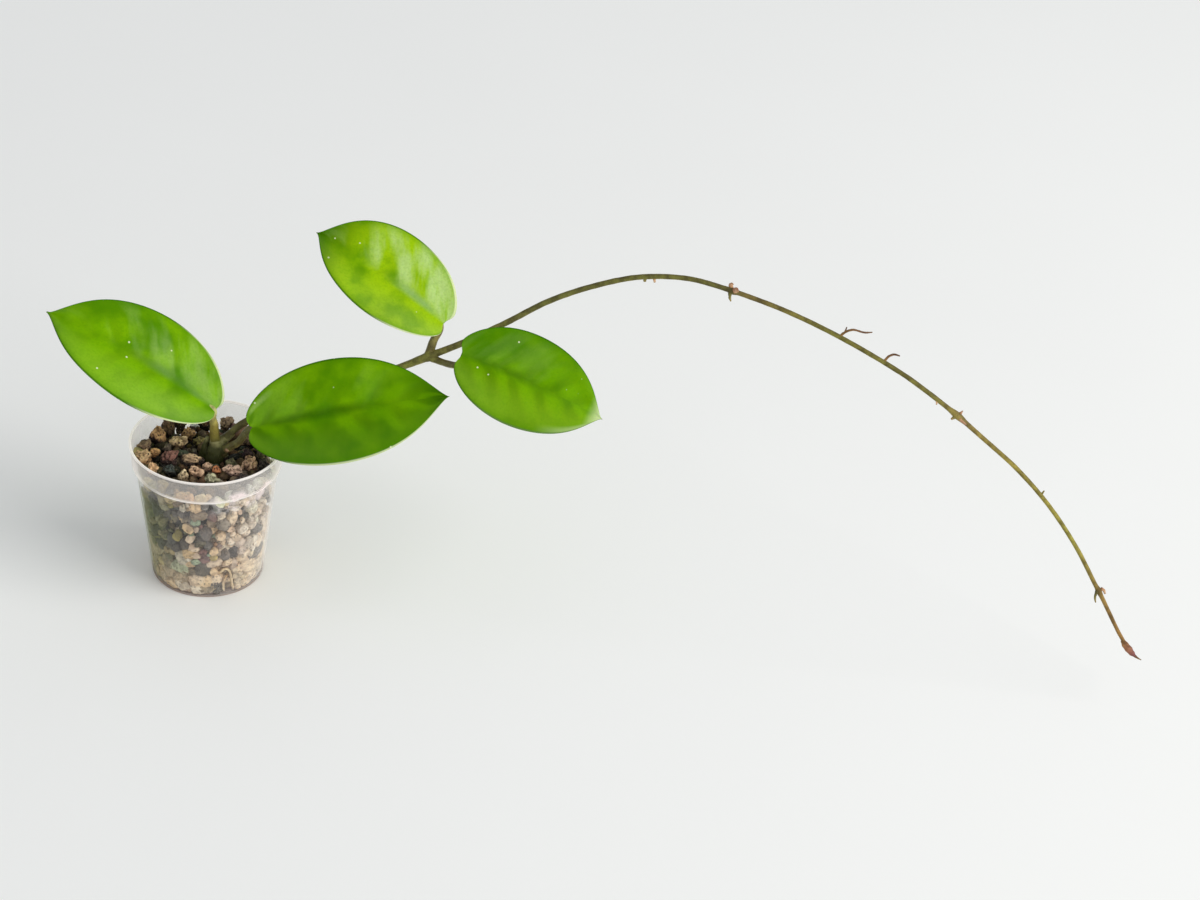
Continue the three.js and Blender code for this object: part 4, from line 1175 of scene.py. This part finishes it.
# Blade: the midrib bends down as an arc, each half folds up and arches, and each ring of the grid runs
# round the section at one share s of the length. Waves, side veins and the curl lift the surface.
def bladeShape(leaf):
    rings, sides, soft = blade["rings"], blade["sides"], blade["softMiddle"]
    s = ((1 - np.cos(np.linspace(0.012, 1, rings) * np.pi * 0.996)) / 2)[:, None]
    angle = np.linspace(0, 2 * np.pi, sides, endpoint=False)[None]
    across = np.cos(angle) + 0 * s
    side, wide = np.sign(across), np.abs(across)
    off = np.sqrt(across**2 + soft) - math.sqrt(soft)  # share off the midrib, rounded over it
    off = off / (math.sqrt(1 + soft) - math.sqrt(soft))
    outline = leafOutline(leaf, s)
    reach = outline * leaf["width"] / 2 * (1 + side * off * (leaf["asym"] + leaf["lean"] * (1 - 2 * s)))
    bend, fold = math.radians(leaf["bend"]), math.radians(leaf["fold"])
    along = leaf["length"] * np.sin(bend * s) / bend
    drop = leaf["length"] * (1 - np.cos(bend * s)) / bend
    lobe = leaf["lobe"] * wide**1.5 * (1 - s) ** 8 * (1 - np.exp(-s / 0.006)) * (1 + side * leaf["lobeLean"])
    arch = blade["crown"] * (reach * across) ** 2 / (leaf["width"] / 2)
    phase = np.random.default_rng(leaf["seed"]).uniform(0, 6.28, 8)
    wave = leaf["wave"] * off**1.5 * np.sin(2 * np.pi * (1.15 + 0.25 * side) * s + phase[0] + 1.6 * side)
    ripple = np.sin(8 * s + 2.2 * across + phase[1]) * np.sin(4.4 * across + 4 * s + phase[2])
    ripple = blade["ripple"] * ripple * smoothRamp(s, 0, 0.1)
    veinPlace = blade["veins"] * (s - 0.2 * wide * (1 - 0.3 * s)) + 0.16 * np.sin(7 * s + phase[3] + side)
    body = np.clip(wide * 3, 0, 1) * (1 - wide**3) * np.clip(outline * 1.4, 0, 1)
    share = 0.5 + 0.5 * np.sin(5.3 * s + 2.6 * across + phase[4]) * np.sin(3.1 * s - 3.7 * across + phase[5])
    quilt = blade["quilt"] * share * np.cos(2 * np.pi * veinPlace) * body
    curl = leaf["curl"] * smoothRamp(leaf["curlSide"] * across, 0.55, 1.0) * np.exp(-((s - 0.1) / 0.16) ** 2)
    thick = blade["edge"] + (blade["middle"] - blade["edge"]) * (1 - across**2) * outline
    thick = thick * np.sqrt(np.clip(1 - wide**22, 0, 1)) * np.sqrt(np.clip(s / 0.004, 0, 1))
    thick = thick * (1 - 0.55 * smoothRamp(s, 0.9, 1))
    top = np.sign(np.sin(angle)) + 0 * s
    nearRib = np.exp(-((reach * across) / 1.8) ** 2) * (1 - s) ** 0.6 * smoothRamp(s, 0, 0.04)
    rib = np.where(top > 0, -blade["groove"], -blade["rib"] * (1 - s)) * nearRib
    height = reach * off * math.sin(fold) - arch - drop + wave + ripple + quilt + curl + rib
    sideways = leaf["bow"] * leaf["length"] * s**2 + leaf["hook"] * (1 - s) ** 6
    sideways = sideways + reach * across * math.cos(fold)
    skin = np.stack([along - lobe, sideways, height + 0.5 * thick * top], axis=-1)
    ends = np.stack([skin[0].mean(0) - [0.1, 0, 0], skin[-1].mean(0) + [0.15, 0, 0]])
    points = standLeaf(leaf, np.vstack([skin.reshape(-1, 3), ends]))
    values = {
        "along": np.concatenate([(s + 0 * across).ravel(), [0, 1]]),
        "across": np.concatenate([across.ravel() * leaf["front"], [0, 0]]),
        "upper": np.concatenate([np.clip(np.sin(angle) * 8 + 0 * s, -1, 1).ravel(), [0, 0]]),
    }
    return points, ringFaces(rings, sides), values


# Waxy leaf: deep and bright green in broad clouds; soft dark bands along the midrib and the side veins,
# brighter between them; painted shade on a leaf's low half, its tip or all of it; painted sheen, pale patches
# of painted reflection, in streaks across the back half and on the front half; painted shade towards the
# margin and a dark margin line with a painted highlight rim over it where one is asked for; white specks; and
# a paler underside.
# Here off is the share off the midrib, and each mask is a product of soft steps.
def makeLeafGroup():
    usual = {"along": 0.5, "across": 0.5, "upper": 1.0, **dict.fromkeys(leafLooks, 0.0)}
    tree, ask, result = newGroup("waxyLeaf", usual, ["Color", "Roughness", "Height"])
    where, along, across = ask["Vector"], ask["along"], ask["across"]

    # Rises from 0 to full
    def step(value, low, high, full=1.0):
        return spread(value, low, high, 0.0, full)

    # Falls from full to 0
    def fade(value, low, high, full=1.0):
        return spread(value, low, high, full, 0.0)

    off = calculate("ABSOLUTE", across)
    front, back = step(across, -0.05, 0.45), fade(across, -0.3, 0.15)
    slanted = plus(along, times(off, -blade["slant"]))
    own = addNode(tree, "ShaderNodeCombineXYZ")
    streakPlace = times(slanted, blade["streakAlong"]), times(across, blade["streakAcross"]), ask["seed"]
    setInputs(own, **dict(zip("XYZ", streakPlace)))
    broad = noiseAt(where, blade["broadScale"], 2.0, 0.4)
    cloud = noiseAt(where, blade["cloudScale"], 2.0, 0.45)
    small = noiseAt(where, blade["smallScale"], 3.0, 0.5)
    fine = noiseAt(where, blade["fineScale"], 2.0)

    # Greens: clouds, then young parts and parts in painted shade
    clouds = step(plus(times(broad, 0.6), times(cloud, 0.4)), 0.36, 0.6)
    yellow = step(plus(cloud, times(off, 0.1)), 0.15, 0.65)
    young = largest(times(yellow, ask["youth"]), times(front, ask["lowYouth"]))
    end = step(along, 0.5, 1.0)
    shade = largest(times(front, ask["lowShade"]), times(end, end, ask["tipShade"]), ask["shade"])

    # Veins: a cosine along the slanted length, and the midrib
    turns = times(plus(slanted, times(cloud, 0.12)), blade["veins"] * 2 * math.pi)
    wave = calculate("COSINE", plus(turns, times(calculate("SIGN", across), 1.3)))
    patchy = spread(broad, 0.38, 0.6, 0.25, 1.0)
    between = times(step(wave, 0.0, 1.0, 0.6), fade(off, 0.2, 0.95), patchy)
    band = times(fade(wave, -1.0, 0.2), fade(off, 0.1, 0.9, 0.5), patchy, spread(along, 0.6, 0.95, 1.0, 0.3))
    midrib = times(fade(off, 0.0, 0.18, 0.85), spread(along, 0.35, 0.9, 1.0, 0.1),
                   spread(along, 0.03, 0.2, 0.35, 1.0), spread(cloud, 0.36, 0.56, 0.68, 1.0))
    veins = largest(band, midrib)

    # Painted sheen: streaks on the back half, a sheen on the front one, the highlight crescent and the base,
    # all painted reflection; a mist by the midrib
    streak = plus(noiseAt(own.outputs[0], 1.0, 3.0, 0.5), spread(along, 0.1, 0.6, 0.12, -0.02))
    patch = times(step(streak, 0.44, 0.68), spread(small, 0.3, 0.6, 0.85, 1.0),
                  spread(along, 0.45, 0.85, 1.0, 0.15), spread(off, 0.7, 1.0, 1.0, 0.45), back, ask["paintedSheen"])
    sheen = times(step(off, 0.1, 0.8), spread(along, 0.1, 0.75, 1.0, 0.3), front, ask["sheen"])
    highlightCrescent = times(step(off, 0.6, 0.76), fade(off, 0.8, 0.93), step(along, 0.015, 0.04),
                     fade(along, 0.08, 0.19), back, ask["highlightCrescent"])
    nearBase = times(fade(along, 0.05, 0.2, 2.3), fade(off, 0.02, 0.4), back, ask["ribSheenAndMist"])
    misty = times(fade(off, 0.0, 0.16), fade(along, 0.25, 0.52), step(along, 0.05, 0.16),
                  spread(cloud, 0.34, 0.6, 0.35, 1.3), ask["ribSheenAndMist"])
    grain = largest(step(fine, 0.42, 0.7, 0.2), step(small, 0.5, 0.75, 0.2))

    # Painted highlights: the pale tip, and the rims: one on the margin and one that runs inside the back
    # margin near the base
    point = largest(step(along, 0.88, 0.99), times(front, step(off, 0.75, 1.0), step(along, 0.6, 0.85, 0.8)))
    lowHighlightRim = times(front, step(along, 0.1, 0.3), ask["lowHighlightRim"])
    rims = largest(times(fade(along, 0.2, 0.45), ask["baseHighlightRim"]), lowHighlightRim)
    inward = times(calculate("SUBTRACT", 1.0, off), calculate("POWER", along, 0.5))
    inner = times(fade(inward, 0.02, 0.034, 0.95), spread(inward, 0.003, 0.009, 0.25, 1.0), back,
                  fade(along, 0.1, 0.26), ask["baseHighlightRim"])
    pale = largest(times(step(off, 0.955, 0.985), rims), inner)

    # White specks in a few of the cells
    distance, cell = cellsAt(where, blade["speckScale"])
    chance = addNode(tree, "ShaderNodeSeparateColor")
    feed(chance.inputs[0], cell)
    dots = times(fade(distance, 0.05, 0.11, 0.85), step(chance.outputs[0], 0.72, 0.74))

    colour = mixed(clouds, tint(blade["deep"]), tint(blade["bright"]))
    for name, mask in (  # from the lowest layer of colour to the highest
        ("young", young), ("shade", shade), ("bright", times(between, ask["veinDepth"])),
        # painted sheen: pale painted reflection in the streaks, on the front half, the crescent and the base
        ("vein", times(veins, ask["veinDepth"])), ("paintedSheen", largest(patch, sheen, highlightCrescent, nearBase)),
        ("mist", misty), ("deep", grain), ("under", fade(ask["upper"], -0.6, 0.2, 0.85)),
        # painted highlight on the pale tip, painted shade towards the margin and on the margin line, then the
        # painted highlight rims
        ("rim", times(point, ask["tipSheen"])), ("deep", step(off, 0.8, 0.98, 0.4)),
        ("marginShade", step(off, 0.95, 0.98, 0.72)), ("rim", pale), ("speck", dots),
    ):
        colour = mixed(mask, colour, tint(blade[name]))
    relief = calculate("SUBTRACT", plus(times(fine, 0.12), times(small, 0.5)), times(veins, 0.3))
    setInputs(result, Color=colour, Roughness=spread(cloud, 0.3, 0.7, 0.3, 0.42), Height=relief)
    return tree


waxyLeaf = makeLeafGroup()


# One leaf's finish: the waxy leaf over the blade's own coordinates, with this leaf's looks.
def makeLeafFinish(number, leaf):
    finish, tree, shader = newFinish(
        f"leafSkin{number}", Specular_IOR_Level=0.06, Specular_Tint=(0.8, 1.0, 0.35, 1.0),
        Subsurface_Weight=0.1, Subsurface_Scale=0.0012, Subsurface_Radius=(0.5, 1.0, 0.1))
    looks = {key: leaf.get(key, 0.0) for key in leafLooks}
    places = {key: valueOf(tree, key) for key in ("along", "across", "upper")}
    skin = placeGroup(tree, waxyLeaf, **places, **looks)
    setInputs(shader, Base_Color=skin["Color"], Roughness=skin["Roughness"])
    bumpInto(shader, skin["Height"], blade["relief"], 0.5)
    return finish


# Each leaf: its blade, and a petiole as a tube from the stem to two points under the blade's base.
def makeLeaves():
    for number, leaf in leaves.items():
        finish = makeLeafFinish(number, leaf)
        makePiece(f"leaf_{number}_blade", bladeShape(leaf), finish, [f"leaf_{number}"])
        shifts = [[leaf["tuck"], leaf["hook"], leaf["lift"]], [leaf["tuck"], 0.6 * leaf["hook"], 0]]
        joins = standLeaf(leaf, np.array(petioles["join"]) + shifts)
        route = withRadii(petioles["starts"][number] + joins.tolist(), petioles["radii"][number])
        skin = {"colours": petioles["colours"][number], "freckle": petioles["freckle"]}
        finish = makeBarkFinish(f"petioleSkin{number}", skin, 0.36, 0.3, gloss=0.35)
        petiole = tubeShape(route, 90, 20, 4.0, 0.04, seed=number)
        makePiece(f"petiole_{number}", petiole, finish, [f"leaf_{number}"])
    print("leaves made")


makeLeaves()

studio = {
    "skyColour": "#fafcff",
    "skyStrength": 0.575,
    "floorSize": 8.0,
    "floorColour": "#f6f7f6",
    "floorDark": "#f1f2f1",
    "aim": (0.1, 0.0, 0.05),
    "lamps": {  # place, size, power and colour
        "key": ((1.83, -0.59, 1.41), 1.8, 37.0, "#fffdf8"),
        "back": ((-0.5, 1.3, 1.1), 1.1, 1.0, "#ffffff"),
    },
}


# A flat pale floor at height 0, an even sky and two square lamps aimed at the plant.
def makeStage():
    finish, tree, shader = newFinish("paleFloor", Roughness=0.75, Specular_IOR_Level=0.25)
    wash = noiseAt(objectPlace(tree), 3.0, 4.0)
    setInputs(shader, Base_Color=mixed(wash, tint(studio["floorColour"]), tint(studio["floorDark"])))
    half = studio["floorSize"] / 2
    mesh = bpy.data.meshes.new("floor")
    corners = [(-half, -half, 0), (half, -half, 0), (half, half, 0), (-half, half, 0)]
    mesh.from_pydata(corners, [], [(0, 1, 2, 3)])
    mesh.materials.append(finish)
    floor = bpy.data.objects.new("floor", mesh)
    bpy.context.scene.collection.objects.link(floor)
    world = bpy.data.worlds.new("studio")
    bpy.context.scene.world = world
    world.use_nodes = True
    sky = world.node_tree.nodes["Background"]
    setInputs(sky, Color=tint(studio["skyColour"]), Strength=studio["skyStrength"])
    for name, (place, size, power, colour) in studio["lamps"].items():
        light = bpy.data.lights.new(name, "AREA")
        light.size, light.energy, light.color = size, power, tint(colour)[:3]
        lamp = bpy.data.objects.new(name, light)
        bpy.context.scene.collection.objects.link(lamp)
        lamp.location = place
        lamp.rotation_mode = "QUATERNION"
        lamp.rotation_quaternion = Vector(np.array(studio["aim"]) - place).to_track_quat("-Z", "Y")
    bpy.context.scene.view_settings.view_transform = "Standard"


makeStage()
print("floor and light set")
